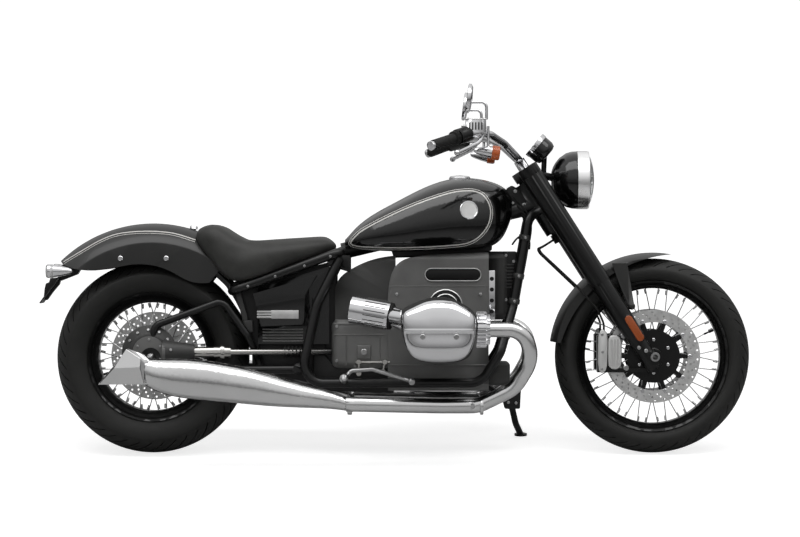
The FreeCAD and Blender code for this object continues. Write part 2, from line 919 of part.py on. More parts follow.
def front_axle():
    """The front axle with a hole right through it."""
    half = front_axle_half
    return lathe(FRONT_AXLE, [
        (front_axle_bore, -half),
        (front_axle_radius, -half),
        (front_axle_radius, half),
        (front_axle_bore, half),
    ])


def yoke(up, wall, ahead):
    """A flat fork yoke across both legs, square to the steering axis."""
    half = fork_half
    outline = ((-yoke_rear, half / 4), (-yoke_rear, -half / 4), (ahead / 2, -half), (ahead, -half),
               (ahead, half), (ahead / 2, half))
    return prism([fork_point(up, t, y) for t, y in outline], FORK_UP * wall)


def lamp_arm(extra):
    """The arm from the upper yoke to the lamp, grown by a clearance."""
    root = fork_point(cover_high + top_yoke_wall / 2, yoke_offset)
    return cylinder(root, LAMP + FORWARD * (lamp_bowl / 2), lamp_arm_radius + extra)


def yokes():
    """Both fork yokes, the steering stem, the lamp's arm and the bar's risers as one solid."""
    top = cover_high + gap
    middle = top + top_yoke_wall / 2
    ahead = yoke_offset + cover_radius / 2
    pieces = [
        yoke(top, top_yoke_wall, ahead),
        yoke(low_yoke_low, low_yoke_wall, ahead),
        cylinder(fork_point(low_yoke_low), fork_point(middle), stem_radius),
        lamp_arm(0.0),
    ]
    for side in RIGHT_AND_LEFT:
        pieces.append(cylinder(leg_axis(side, top), leg_axis(side, top + top_yoke_wall),
                               cover_radius + gap))
        pieces.append(cylinder(fork_point(middle, bar_clamp_ahead, side * riser_half),
                               fork_point(bar_clamp_up, bar_clamp_ahead, side * riser_half),
                               riser_radius))
    solid = fused(pieces)
    covers = [cylinder(leg_axis(side, cover_low), leg_axis(side, cover_high + gap), cover_radius + gap)
              for side in RIGHT_AND_LEFT]
    bar_hole = cylinder(fork_point(bar_clamp_up, bar_clamp_ahead, -fork_half),
                        fork_point(bar_clamp_up, bar_clamp_ahead, fork_half), bar_radius + gap)
    return largest(solid.cut(Part.makeCompound(covers)).cut(lamp_space(gap)).cut(bar_hole))


# Lamp, dial and bar


def lamp_space(extra):
    """The space that the lamp's bowl takes, grown by a clearance."""
    outline = []
    for ahead, radius in lamp_bowl_shares:
        outline.append((radius * lamp_radius + (extra if radius else 0.0),
                        ahead * lamp_bowl - (extra if not ahead else 0.0)))
    return lathe(LAMP, outline + [(0.0, lamp_bowl)], FORWARD, UP)


def lamp_shell():
    """The headlamp's black bowl."""
    return lamp_space(0.0)


def lamp_rim():
    """The headlamp's bright ring."""
    inner = lamp_radius - lamp_bezel
    return lathe(LAMP + FORWARD * (lamp_bowl + gap), [
        (inner, 0.0),
        (lamp_radius, 0.0),
        (lamp_radius, lamp_ring - lamp_wall * 2),
        (lamp_radius - lamp_wall, lamp_ring),
        (inner, lamp_ring),
    ], FORWARD, UP)


def lamp_lens():
    """The headlamp's domed glass."""
    centre = LAMP + FORWARD * (lamp_bowl + gap + lamp_ring - lamp_dome)
    radius = lamp_radius - lamp_bezel - gap
    outline = [(0.0, 0.0), (radius, 0.0)]
    outline += [(radius * r, lamp_dome + lamp_dome * ahead) for r, ahead in lens_shares]
    return lathe(centre, outline, FORWARD, UP)


def dial():
    """The round speedometer in its cup, on a post from the lamp's arm."""
    tilt = math.radians(dial_tilt_deg)
    back = Vector(math.cos(tilt), 0, -math.sin(tilt))
    side = Vector(math.sin(tilt), 0, math.cos(tilt))
    face = from_front(dial_back, dial_up)
    outline = [(0.0, dial_lip), (dial_radius - dial_lip, dial_lip), (dial_radius - dial_lip, 0.0),
               (dial_radius + dial_lip / 2, 0.0), (dial_radius + dial_lip / 2, dial_rim)]
    outline += [(dial_radius * r, dial_depth * along) for r, along in dial_cup_shares]
    cup = lathe(face, outline, back, side)
    post = cylinder(face + back * (dial_depth - dial_rim),
                    Vector(FRONT_AXLE.x - dial_post_back, 0, LAMP.z), dial_post_radius)
    return largest(fused([cup, post]).cut(lamp_arm(gap)))


def bar_points(side):
    """The bar's centreline from its middle to one end."""
    start = fork_point(bar_clamp_up, bar_clamp_ahead)
    return [start + Vector(-back * bar_pull_back, side * out * bar_half_width, up * bar_rise)
            for back, out, up in bar_shares]


def bar_end_point(side, share):
    """A point along the bar's straight outer stretch."""
    points = bar_points(side)
    return points[-2] + (points[-1] - points[-2]) * share


def handlebar():
    """The bright bar, with its end weights."""
    halves = []
    for side in RIGHT_AND_LEFT:
        points = bar_points(side)
        points[-1] = bar_end_point(side, bar_tip_share)
        halves.append(tube(points, bar_radius, bar_bend))
        halves.append(cylinder(bar_end_point(side, bar_weight_share), bar_end_point(side, 1.0),
                               bar_weight_radius))
    return fused(halves)


def grips():
    """The two rubber grips."""
    core = cylinder(bar_end_point(-1, 0.0), bar_end_point(-1, 1.0), bar_radius + seat_gap)
    right = cylinder(bar_end_point(-1, grip_start_share), bar_end_point(-1, grip_end_share), grip_radius)
    return both_sides(right.cut(core))


def lever():
    """The right lever, hung just ahead of its mount and ending in a ball."""
    perch = bar_end_point(-1, switch_start_share)
    along = (bar_end_point(-1, 1.0) - bar_end_point(-1, 0.0)).normalize()
    pivot = perch + Vector(mount_length - reservoir_behind + gap + lever_radius, 0, -lever_radius / 2)
    bend = pivot + along * lever_elbow + Vector(lever_ahead, 0, -lever_drop)
    tip = bend + along * lever_reach - UP * (lever_drop / 2)
    return fused([tube([pivot, bend, tip], lever_radius, bar_bend), ball(tip, lever_ball)])


def controls():
    """Each side's switch housing with its clamp and fluid reservoir, and its lever."""
    core = tube(bar_points(-1)[-3:], bar_radius + seat_gap, bar_bend)
    housing = cylinder(bar_end_point(-1, switch_start_share), bar_end_point(-1, switch_end_share),
                       switch_radius)
    perch = bar_end_point(-1, switch_start_share) - FORWARD * reservoir_behind
    half = reservoir_width / 2
    mount = block(perch + Vector(0, -half, -bar_radius), perch + Vector(mount_length, half, bar_radius))
    top = reservoir_lift + reservoir_height
    reservoir = block(perch + Vector(0, -half, reservoir_lift), perch + Vector(reservoir_length, half, top))
    reservoir = rounded_edges(reservoir, half / 2, UP)
    return both_sides(together([fused([housing, mount, reservoir]).cut(core), lever()]))


def mirrors():
    """The two round mirrors on their bent stems."""
    tilt = math.radians(mirror_tilt_deg)
    ahead = Vector(math.cos(tilt), 0, -math.sin(tilt))
    up = Vector(math.sin(tilt), 0, math.cos(tilt))
    centre = from_front(mirror_back, mirror_up, -mirror_half)
    outline = [(mirror_radius * r, mirror_wall * along) for r, along in mirror_shares]
    shell = lathe(centre, outline, ahead, up)
    perch = bar_end_point(-1, switch_start_share)
    level = centre - UP * mirror_stem_drop
    elbow = level + FORWARD * mirror_stem_reach
    foot = Vector(elbow.x, perch.y, perch.z + reservoir_lift + reservoir_height + gap)
    stem = tube([foot, foot + UP * mirror_wall, elbow, level + FORWARD * (mirror_wall / 2)],
                mirror_stem_radius, mirror_wall)
    return both_sides(fused([shell, stem]))


def bullet(tail, ahead, up, extra):
    """A bullet lamp with a narrow tail and a flat lens, grown by a clearance."""
    outline = [(indicator_radius * r + (extra if r else 0.0), indicator_length * along)
               for r, along in bullet_shares]
    return lathe(tail, outline, ahead, up)


def front_indicators():
    """The two front indicators, hung under the bar."""
    tilt = math.radians(indicator_tilt_deg)
    ahead = Vector(math.cos(tilt), 0, -math.sin(tilt))
    up = Vector(math.sin(tilt), 0, math.cos(tilt))
    tail = from_front(front_indicator_back, front_indicator_up, -front_indicator_half)
    root = tail + ahead * (indicator_length * indicator_stem_share)
    stem = cylinder(root, root + UP * indicator_length, mirror_stem_radius)
    bar = tube(bar_points(-1), bar_radius + gap, bar_bend)
    return both_sides(largest(fused([bullet(tail, ahead, up, 0.0), stem]).cut(bar)))


def hoses():
    """Each side's brake hose from the lower yoke down to its caliper."""
    yoke_face = fork_point(low_yoke_low + low_yoke_wall / 2, -yoke_rear - gap, -hose_inset)
    caliper_top = from_front(caliper_back, caliper_up + caliper_height / 2 + gap,
                             -caliper_outer_half + hose_inset)
    points = [yoke_face, yoke_face - FORK_AHEAD * hose_bend]
    points += [from_front(back, up, -half) for back, up, half in brake_hose_runs]
    points += [caliper_top + UP * hose_bend, caliper_top]
    return both_sides(tube(points, hose_radius, hose_bend))


# Front fender and calipers


def arch(centre, first_deg, last_deg, crown, half, drop, side, inset):
    """A fender's section, a domed crown between two flat sides, swept about the axle."""
    angle = math.radians(first_deg)
    out = Vector(math.cos(angle), 0, math.sin(angle))
    y = half - inset

    def at(r, across):
        return centre + out * r + LEFT * across

    edge = crown - side
    shoulder = crown - drop - inset
    wire = Part.Wire([
        Part.LineSegment(at(edge, -y), at(shoulder, -y)).toShape(),
        Part.Arc(at(shoulder, -y), at(crown - inset, 0), at(shoulder, y)).toShape(),
        Part.LineSegment(at(shoulder, y), at(edge, y)).toShape(),
        Part.LineSegment(at(edge, y), at(edge, -y)).toShape(),
    ])
    return Part.Face(wire).revolve(centre, -LEFT, last_deg - first_deg)


def fender_stay(side):
    """One tapered blade from the front fender's side to a foot on the fork leg."""
    foot_z = FRONT_AXLE.z + stay_up
    leg_foot = leg_axis(side, 0.0)
    leg_x = leg_foot.x - (foot_z - leg_foot.z) * math.tan(rake)
    foot_x = leg_x + (slider_radius + gap + stay_foot_radius) / math.cos(rake)
    near = side * (front_fender_half - fender_wall)
    far = side * (front_fender_half + stay_wall)
    blade = plate([
        (foot_x - stay_foot_radius, foot_z),
        (foot_x + stay_foot_radius, foot_z),
        (foot_x - stay_run + stay_width, foot_z + stay_rise),
        (foot_x - stay_run - stay_width, foot_z + stay_rise),
    ], min(near, far), max(near, far))
    foot = cylinder(Vector(foot_x, near, foot_z), Vector(foot_x, side * fork_half, foot_z),
                    stay_foot_radius)
    return [blade, foot]


def front_fender():
    """The front fender with its two stays."""
    swept = overrun / 10
    solid = arch(FRONT_AXLE, front_fender_tip_deg, front_fender_tail_deg, front_fender_radius,
                 front_fender_half, front_fender_drop, front_fender_side, 0.0)
    hollow = arch(FRONT_AXLE, front_fender_tip_deg - swept, front_fender_tail_deg + swept,
                  front_fender_radius, front_fender_half, front_fender_drop,
                  front_fender_side + fender_wall, fender_wall)
    down = math.radians(front_fender_trim_deg)
    low = FRONT_AXLE - Vector(math.cos(down), 0, math.sin(down)) * front_fender_trim_shift
    trim = Part.makeCylinder(front_fender_trim_radius, front_fender_half * 4,
                             low - LEFT * (front_fender_half * 2), LEFT)
    shell = solid.cut(hollow).cut(trim)
    stays = fender_stay(-1) + fender_stay(1)
    legs = [slider_space(side, gap) for side in RIGHT_AND_LEFT]
    covers = [cylinder(leg_axis(side, cover_low - gap), leg_axis(side, cover_high), cover_radius + gap)
              for side in RIGHT_AND_LEFT]
    whole = fused([shell] + stays).cut(Part.makeCompound(legs + covers)).cut(hollow)
    return largest(whole)


def front_calipers():
    """The two front brake calipers, each on two lugs behind its fork leg."""
    centre = from_front(caliper_back, caliper_up)
    low_x = centre.x - caliper_length / 2
    high_x = centre.x + caliper_length / 2
    low_z = centre.z - caliper_height / 2
    high_z = centre.z + caliper_height / 2
    pieces = [block(Vector(low_x, -caliper_outer_half, low_z), Vector(high_x, -caliper_inner_half, high_z))]
    lug_face = front_disc_half + disc_wall / 2 + disc_clearance
    for z in (low_z, high_z - caliper_lug):
        reach = leg_axis(-1, 0.0).x - (z - leg_axis(-1, 0.0).z) * math.tan(rake)
        pieces.append(block(Vector(high_x - caliper_lug, -caliper_outer_half, z),
                            Vector(reach, -lug_face, z + caliper_lug)))
    slot = cylinder(FRONT_AXLE - LEFT * lug_face,
                    FRONT_AXLE - LEFT * (front_disc_half - disc_wall / 2 - disc_clearance),
                    front_disc_radius + disc_clearance)
    return both_sides(largest(fused(pieces).cut(slot).cut(slider_space(-1, gap))))


# Frame


def head_tube_ends():
    """The head tube's lower and upper ends."""
    low = fork_point(low_yoke_low + low_yoke_wall + head_clearance)
    high = fork_point(cover_high + gap - head_clearance)
    return low, high


def seat_rail_points(side):
    """One seat rail's corners, from the backbone's rear end to the fender's struts."""
    rear = REAR_AXLE.x + seat_rail_rear_ahead
    return [
        Vector(backbone_rear_x, side * down_top_half, backbone_rear_z),
        Vector(backbone_rear_x, side * seat_rail_half, backbone_rear_z),
        Vector(rear, side * seat_rail_half, seat_rail_rear_z),
        Vector(rear, side * down_top_half, seat_rail_rear_z),
    ]


def fender_strut(side):
    """One strut from the seat rails' rear end up inside the rear fender."""
    y = side * (rear_fender_half - fender_wall - gap - strut_radius)
    rear = REAR_AXLE.x + seat_rail_rear_ahead
    return tube([
        Vector(rear, y, seat_rail_rear_z),
        Vector(rear - tube_radius, y, seat_rail_rear_z + strut_rise),
        from_rear(strut_high_ahead, strut_high_up, y),
    ], strut_radius, frame_bend)


def frame_side(side):
    """One side's downtube, lower rail, upright, seat rail, strut and gusset."""
    rail_y = side * cradle_half
    top = fork_point(down_top_up)
    down_high = from_front(down_high_back, 0.0)
    lower = tube([
        Vector(top.x, side * down_top_half, top.z),
        Vector(down_high.x, side * (down_top_half + down_mid_half) / 2, down_high_z),
        Vector(down_mid_x, side * down_mid_half, down_mid_z),
        Vector(down_low_x, side * (cradle_half - tube_radius), down_low_z),
        Vector(rail_front_x, rail_y, rail_z),
        Vector(rail_lift_x, rail_y, rail_z),
        Vector(rail_rear_x, rail_y, upright_low_z),
        Vector(upright_mid_x, side * (cradle_half + upright_top_half) / 2, upright_mid_z),
        Vector(upright_top_x, side * upright_top_half, upright_top_z),
    ], tube_radius, frame_bend)
    rail = tube(seat_rail_points(side), tube_radius, frame_bend / 2)
    front = upright_top_x + gusset_ahead
    gusset = plate([
        (front - gusset_length, upright_top_z - gusset_drop / 2),
        (front, upright_top_z - gusset_drop),
        (front, upright_top_z + gusset_rise),
        (front - gusset_length, upright_top_z + gusset_rise),
    ], side * upright_top_half - gusset_wall / 2, side * upright_top_half + gusset_wall / 2)
    return [lower, rail, fender_strut(side), gusset]


def cross_tube(x, z, half, radius):
    """A tube straight across the frame."""
    return cylinder(Vector(x, -half, z), Vector(x, half, z), radius)


def frame():
    """The tubular frame with its head tube and the stand's lug."""
    low, high = head_tube_ends()
    pieces = [
        cylinder(low, high, head_tube_radius),
        cylinder(fork_point(backbone_front_up), Vector(backbone_rear_x, 0, backbone_rear_z),
                 backbone_radius),
        cross_tube(backbone_rear_x, backbone_rear_z, seat_rail_half - tube_radius, tube_radius),
        cross_tube(REAR_AXLE.x + seat_rail_rear_ahead, seat_rail_rear_z, seat_rail_half - tube_radius,
                   tube_radius),
        cross_tube(tray_x, tray_z, cradle_half - tube_radius / 2, tube_radius),
        stand_lug(),
    ]
    for side in RIGHT_AND_LEFT:
        pieces += frame_side(side)
    bore = cylinder(low - FORK_UP * overrun, high + FORK_UP * overrun, stem_radius + running_clearance)
    return largest(fused(pieces).cut(bore))


# Side stand

STAND_PIVOT = Vector(stand_pivot_x, stand_pivot_half, stand_pivot_z)


def stand_axis():
    """The stand hinge's direction: across and up."""
    angle = math.radians(stand_axis_deg)
    return Vector(0, math.cos(angle), math.sin(angle))


def stand_lug():
    """The frame's bracket and pin for the side stand."""
    axis = stand_axis()
    face = STAND_PIVOT - axis * (stand_eye_half + stand_face_gap)
    pin = cylinder(face, STAND_PIVOT + axis * (stand_eye_half + stand_face_gap / 2), stand_pin_radius)
    lug = cylinder(face - axis * stand_lug_wall, face, stand_eye_radius)
    back = face - axis * (stand_lug_wall / 2)
    elbow = back - FORWARD * stand_arm_back - axis.cross(FORWARD) * stand_arm_rise
    arm = tube([Vector(rail_front_x, cradle_half, rail_z), elbow, back], stand_bracket_radius, frame_bend)
    arm = arm.cut(cylinder(face, face + axis * frame_bend, stand_eye_radius * 2))
    return fused([pin, lug, arm])


def side_stand():
    """The side stand, down, with its foot flat on the floor."""
    axis = stand_axis()
    foot_z = (stand_foot_half * math.sin(lean) - floor_drop) / math.cos(lean)
    foot = Vector(stand_foot_x, stand_foot_half, foot_z)
    ankle = foot + FLOOR_NORMAL * (stand_foot_wall / 2)
    knee = (STAND_PIVOT + ankle) * 0.5 - UP * overrun
    solid = fused([
        cylinder(STAND_PIVOT - axis * stand_eye_half, STAND_PIVOT + axis * stand_eye_half,
                 stand_eye_radius),
        tube([STAND_PIVOT, knee, ankle], stand_leg_radius, frame_bend),
        cylinder(foot, foot + FLOOR_NORMAL * stand_foot_wall, stand_foot_radius),
    ])
    pin_hole = cylinder(STAND_PIVOT - axis * frame_bend, STAND_PIVOT + axis * frame_bend,
                        stand_pin_radius + running_clearance)
    below = cylinder(foot - FLOOR_NORMAL * frame_bend, foot, frame_bend)
    return largest(solid.cut(pin_hole).cut(below))


# Swingarm, drive and rear axle


def lower_arm(side, extra):
    """One side's lower swingarm tube, grown by a clearance."""
    y = side * arm_half
    middle_x = (arm_pivot_x + REAR_AXLE.x) / 2
    return tube([
        Vector(arm_pivot_x, y, arm_pivot_z),
        Vector(middle_x, y, REAR_AXLE.z + arm_low_up),
        from_rear(0.0, arm_low_up + arm_radius, y),
    ], arm_radius + extra, frame_bend)


def swingarm():
    """The triangulated swingarm that carries the rear axle."""
    pieces = [cross_tube(arm_pivot_x, arm_pivot_z, cradle_half - tube_radius - gap * 2,
                         arm_pivot_radius)]
    for side in RIGHT_AND_LEFT:
        y = side * arm_half
        pieces.append(lower_arm(side, 0.0))
        pieces.append(tube([
            from_rear(0.0, 0.0, y),
            from_rear(arm_top_rear_ahead, arm_top_rear_up, y),
            from_rear(arm_top_front_ahead, arm_top_front_up, y),
            from_rear(arm_strut_mid_ahead, arm_strut_mid_up, y),
            from_rear(arm_strut_low_ahead, arm_strut_low_up, side * arm_strut_low_half),
            Vector(REAR_AXLE.x + arm_strut_low_ahead + arm_radius, y, REAR_AXLE.z + arm_low_up),
        ], arm_top_radius, frame_bend / 2))
        eye = from_rear(0.0, 0.0, y)
        pieces.append(cylinder(eye - LEFT * arm_radius, eye + LEFT * arm_radius, arm_eye_radius))
    return largest(fused(pieces).cut(rear_axle_space(seat_gap)).cut(final_drive_space(gap)))


def rear_axle_space(extra):
    """A full-length bar round the rear axle."""
    reach = rear_axle_half + overrun
    return cylinder(REAR_AXLE - LEFT * reach, REAR_AXLE + LEFT * reach, rear_axle_radius + extra)


def rear_axle():
    """The solid rear axle."""
    return cylinder(REAR_AXLE - LEFT * rear_axle_half, REAR_AXLE + LEFT * rear_axle_half,
                    rear_axle_radius)


def final_drive_space(extra):
    """The final drive's outer form, grown by a clearance."""
    centre = from_rear(drive_ahead, drive_up)
    housing = lathe(centre, [
        (0.0, extra - drive_inner_half),
        (drive_inner_radius + extra, extra - drive_inner_half),
        (drive_radius + extra, extra - drive_inner_half - overrun),
        (drive_radius + extra, overrun - drive_outer_half - extra),
        (drive_cap_radius + extra, -drive_outer_half - extra),
        (0.0, -drive_outer_half - extra),
    ])
    tunnel = cone(from_rear(drive_ahead + drive_radius / 2, tunnel_up, -shaft_half),
                  from_rear(tunnel_end_ahead + extra, tunnel_up, -shaft_half),
                  tunnel_radius + extra, tunnel_end_radius + extra)
    return fused([housing, tunnel])


def final_drive():
    """The shaft drive's housing at the right of the rear hub."""
    return final_drive_space(0.0).cut(rear_axle_space(seat_gap))


def drive_shaft():
    """The exposed drive shaft with its universal joint."""
    rear = from_rear(tunnel_end_ahead + gap, tunnel_up, -shaft_half)
    joint = from_rear(shaft_joint_ahead, tunnel_up, -shaft_half)
    front = Vector(gearbox_rear_x - gap, -shaft_front_half, joint.z)
    along = (front - joint).normalize()
    pieces = [
        cylinder(rear, joint, shaft_stub_radius),
        cylinder(joint - along * (shaft_joint_length / 2), joint + along * (shaft_joint_length / 2),
                 shaft_joint_radius),
        cylinder(joint - along * (shaft_ring_wall / 2), joint + along * (shaft_ring_wall / 2),
                 shaft_ring_radius),
        cylinder(joint, front + along * shaft_radius, shaft_radius),
    ]
    room = block(Vector(rear.x, -shaft_half * 2, 0.0), Vector(front.x, 0.0, joint.z * 2))
    return fused(pieces).common(room)


def rear_caliper():
    """The rear brake caliper, inside the left swingarm."""
    low = from_rear(rear_caliper_ahead, -rear_caliper_drop)
    body = block(Vector(low.x, rear_caliper_inner_half, low.z),
                 Vector(low.x + rear_caliper_length, arm_half, low.z + rear_caliper_height))
    slot = cylinder(REAR_AXLE + LEFT * (rear_disc_half - disc_wall / 2 - disc_clearance),
                    REAR_AXLE + LEFT * (rear_disc_half + disc_wall / 2 + disc_clearance),
                    rear_disc_radius + disc_clearance)
    return largest(body.cut(slot).cut(lower_arm(1, gap)))


# Engine


def shouldered(shares, low, high):
    """A block whose top and rear follow the shares as a smooth curve, with its long edges rounded."""
    solid = rounded_edges(block(low, high), case_round, FORWARD)
    points = [Vector(x, low.y - overrun, z) for x, z in
              placed(shares, low.x, high.x - low.x, low.z, high.z - low.z)]
    curve = Part.BSplineCurve()
    curve.interpolate(points)
    corners = [points[-1], Vector(high.x, low.y - overrun, low.z), Vector(low.x, low.y - overrun, low.z),
               points[0]]
    edges = [curve.toShape()]
    edges += [Part.LineSegment(a, b).toShape() for a, b in zip(corners, corners[1:])]
    side = Part.Face(Part.Wire(edges)).extrude(LEFT * (high.y - low.y + overrun * 2))
    return solid.common(side)


def softened(solid, radius, flat_x):
    """Rounds every edge but those of the flat face at this x."""
    edges = [edge for edge in solid.Edges
             if any(abs(corner.Point.x - flat_x) > gap for corner in edge.Vertexes)]
    return solid.makeFillet(radius, edges)


def engine_case():
    """The engine case with its gearbox and airbox, and the bosses that meet the lower rails."""
    case = shouldered(case_shares, Vector(case_rear_x, -case_half, case_low_z),
                      Vector(case_front_x, case_half, case_top_z))
    inner_x = case_rear_x + case_round
    gearbox = block(Vector(gearbox_rear_x, -gearbox_half, crank_z - gearbox_below_crank),
                    Vector(inner_x, gearbox_half, gearbox_top_z))
    airbox = shouldered(airbox_shares, Vector(case_rear_x - airbox_length, -airbox_half,
                                              gearbox_top_z - case_round),
                        Vector(inner_x, airbox_half, gearbox_top_z + airbox_height))
    pieces = [case, softened(gearbox, case_round, inner_x), airbox]
    rail_face = cradle_half - tube_radius - gap
    for x in (case_rear_x + boss_radius, case_rear_x + boss_radius + boss_spacing):
        pieces.append(cross_tube(x, rail_z, rail_face, boss_radius))
    return fused(pieces)


def front_covers():
    """The belt cover high on the engine's front and the dark box low on it."""
    start = case_front_x + gap
    belt = block(Vector(start, -belt_cover_half, belt_cover_low_z),
                 Vector(front_cover_end_x, belt_cover_half, belt_cover_top_z))
    cooler = block(Vector(start, -cooler_half, cooler_low_z),
                   Vector(front_cover_end_x, cooler_half, cooler_top_z))
    return together([softened(belt, case_round, start), softened(cooler, case_round / 2, start)])


def head_prism(length, height, near_half, far_half):
    """The outline that the head and its cover share, between two distances to the right."""
    rear_x = crank_x - length / 2
    low_z = crank_z - height / 2
    points = [Vector(x, -far_half, z) for x, z in placed(head_shares, rear_x, length, low_z, height)]
    return Part.Face(closed_spline(points)).extrude(LEFT * (far_half - near_half))


def cylinders():
    """The two finned barrels with their finned heads."""
    start = case_half + gap
    outline = [(0.0, -start), (cylinder_core_radius, -start)]
    for count in range(int((cylinder_end - case_half) / fin_pitch)):
        y = case_half + fin_pitch * (count + 0.5)
        outline += [(cylinder_core_radius, -y), (cylinder_fin_radius, -y),
                    (cylinder_fin_radius, -y - fin_wall), (cylinder_core_radius, -y - fin_wall)]
    outline += [(cylinder_core_radius, -cylinder_end), (0.0, -cylinder_end)]
    pieces = [lathe(Vector(crank_x, 0, crank_z), outline)]
    pieces.append(head_prism(head_length * head_core_share, head_height * head_core_share,
                             cylinder_end, head_end))
    for count in range(int((head_end - cylinder_end) / fin_pitch)):
        y = cylinder_end + fin_pitch * (count + 0.5)
        pieces.append(head_prism(head_length, head_height, y, y + fin_wall))
    pieces.append(head_prism(head_length, head_height, head_end - fin_pitch, head_end))
    return staggered(fused(pieces))


def valve_covers():
    """The two bright valve covers, each ridged along its middle and bevelled at its ends."""
    start = head_end + gap
    body = head_prism(cover_length, cover_height, start, cover_end)
    rear = crank_x - cover_length / 2 - gap
    front = crank_x + cover_length / 2 + gap
    low = crank_z - cover_height / 2 - gap
    high = crank_z + cover_height / 2 + gap
    ridge = low + (high - low) * cover_ridge_share
    ends = prism([
        Vector(rear, -start, low),
        Vector(rear, -cover_edge, low),
        Vector(rear + cover_taper, -cover_end, low),
        Vector(front - cover_taper, -cover_end, low),
        Vector(front, -cover_edge, low),
        Vector(front, -start, low),
    ], UP * (high - low))
    faces = prism([
        Vector(rear, -start, low),
        Vector(rear, -cover_brow, low),
        Vector(rear, -cover_end, ridge),
        Vector(rear, -cover_brow, high),
        Vector(rear, -start, high),
    ], FORWARD * (front - rear))
    return staggered(body.common(ends).common(faces))


def intake(side):
    """One bright intake cover with its necks to the head and the airbox."""
    head_rear = crank_x - head_length / 2 + lead(side) - gap
    front = Vector(head_rear - intake_gap, side * intake_front_half, crank_z + intake_front_up)
    rear = Vector(front.x - intake_length, side * intake_rear_half, crank_z + intake_rear_up)
    along = (front - rear).normalize()
    neck_y = side * (cylinder_end + head_end) / 2
    port = Vector(head_rear + intake_neck, neck_y, front.z - intake_neck / 3)
    neck = cylinder(front - along * (intake_neck / 2), port, intake_neck)
    inlet = rear + along * (intake_radius / 2)
    face = airbox_half + gap
    link = cylinder(inlet, Vector(inlet.x, side * face, inlet.z + intake_neck / 2), intake_neck)
    room = block_between(rear.x - intake_radius, head_rear, side * face, side * head_end, 0.0, LAMP.z)
    return largest(fused([cylinder(rear, front, intake_radius), neck, link]).common(room))


def intakes():
    """The two bright intake covers."""
    return together([intake(side) for side in RIGHT_AND_LEFT])


# Exhaust


def header(side):
    """One header pipe with its finned nut, from the head round to its muffler."""
    start = Vector(crank_x + head_length / 2 + lead(side) + gap, side * port_half, crank_z)
    pipe = tube([
        start,
        start + FORWARD * pipe_nose_ahead,
        Vector(start.x + pipe_knee_ahead, side * pipe_knee_half, crank_z - pipe_knee_drop),
        Vector(start.x + pipe_turn_ahead, side * pipe_turn_half, crank_z - pipe_turn_drop),
        Vector(start.x + pipe_low_ahead, side * pipe_low_half, pipe_low_z),
        Vector(crank_x + head_length / 2 - pipe_straight_back, side * pipe_low_half, pipe_low_z),
        Vector(muffler_front_x + pipe_radius, side * muffler_half, muffler_inlet_z),
        Vector(muffler_front_x + gap, side * muffler_half, muffler_inlet_z),
    ], pipe_radius, pipe_bend)
    nut_outline = [(pipe_radius / 2, 0.0)]
    ribs = int(nut_length / (fin_wall * 2))
    root = nut_radius * nut_root_share
    for count in range(ribs):
        along = count * fin_wall * 2
        nut_outline += [(nut_radius, along), (nut_radius, along + fin_wall),
                        (root, along + fin_wall), (root, along + fin_wall * 2)]
    nut_outline += [(pipe_radius / 2, ribs * fin_wall * 2)]
    return fused([pipe, lathe(start, nut_outline, FORWARD, UP)])


def headers():
    """The two header pipes."""
    return together([header(side) for side in RIGHT_AND_LEFT])


def oval(x, y, z, half, half_height):
    """A closed oval across the machine."""
    corners = 12
    points = []
    for count in range(corners):
        angle = math.radians(turn * count / corners)
        points.append(Vector(x, y + half * math.cos(angle), z + half_height * math.sin(angle)))
    return closed_spline(points)


def mufflers():
    """The two swelling mufflers with their flat fishtails."""
    rear_x = REAR_AXLE.x - muffler_behind
    length = muffler_front_x - rear_x
    wires = []
    for share, low, high, wide in muffler_shares:
        z = muffler_low_z + muffler_height * (low + high) / 2
        wires.append(oval(muffler_front_x - length * share, -muffler_half, z, muffler_half_width * wide,
                          muffler_height * (high - low) / 2))
    top = muffler_low_z + muffler_height
    low = top - tail_drop
    tail = plate([
        (rear_x + overrun, low + gap),
        (rear_x + overrun, top - tail_neck_rise),
        (rear_x, top + tail_neck_rise),
        (rear_x - tail_top_run, top + tail_top_rise),
        (rear_x - tail_tip_run, low),
    ], -muffler_half - tail_half, tail_half - muffler_half)
    return both_sides(fused([loft(wires), tail]))


# Tank and seat


def body_section(x, low, high, half, shares):
    """A smooth closed section across the machine from one side's shares of width and height."""
    height = high - low
    right = [Vector(x, -half * wide, low + height * up) for wide, up in shares]
    left = [Vector(x, half * wide, low + height * up) for wide, up in shares[1:-1]]
    return closed_spline(right + left[::-1])


def body_loft(stations, section, rear_x, front_x, low_z, height, half):
    """A smooth body through sections along the machine, all given as shares."""
    return loft([body_section(rear_x + (front_x - rear_x) * along, low_z + height * low,
                              low_z + height * high, half * wide, section)
                 for along, low, high, wide in stations])


def tank():
    """The fuel tank with its tunnel over the frame's backbone."""
    body = body_loft(tank_shares, tank_section_shares, tank_rear_x, tank_front_x, tank_low_z,
                     tank_height, tank_half)
    front = fork_point(backbone_front_up)
    rear = Vector(backbone_rear_x, 0, backbone_rear_z)
    along = (front - rear).normalize()
    reach = backbone_radius + gap
    tunnel = cylinder(rear - along * overrun, front + along * overrun, reach)
    floor = tank_low_z - tank_cross_drop
    slot = plate([
        (rear.x - overrun, rear.z),
        (front.x + overrun, front.z),
        (front.x + overrun, floor),
        (rear.x - overrun, floor),
    ], -reach, reach)
    cross = cross_tube(backbone_rear_x, backbone_rear_z, tank_half, tube_radius + gap)
    seat_z = cap_z - cap_height / 2
    cap = cylinder(Vector(cap_x, 0, seat_z), Vector(cap_x, 0, seat_z + tank_height), cap_radius + gap)
    return largest(body.cut(tunnel).cut(slot).cut(cross).cut(cap))


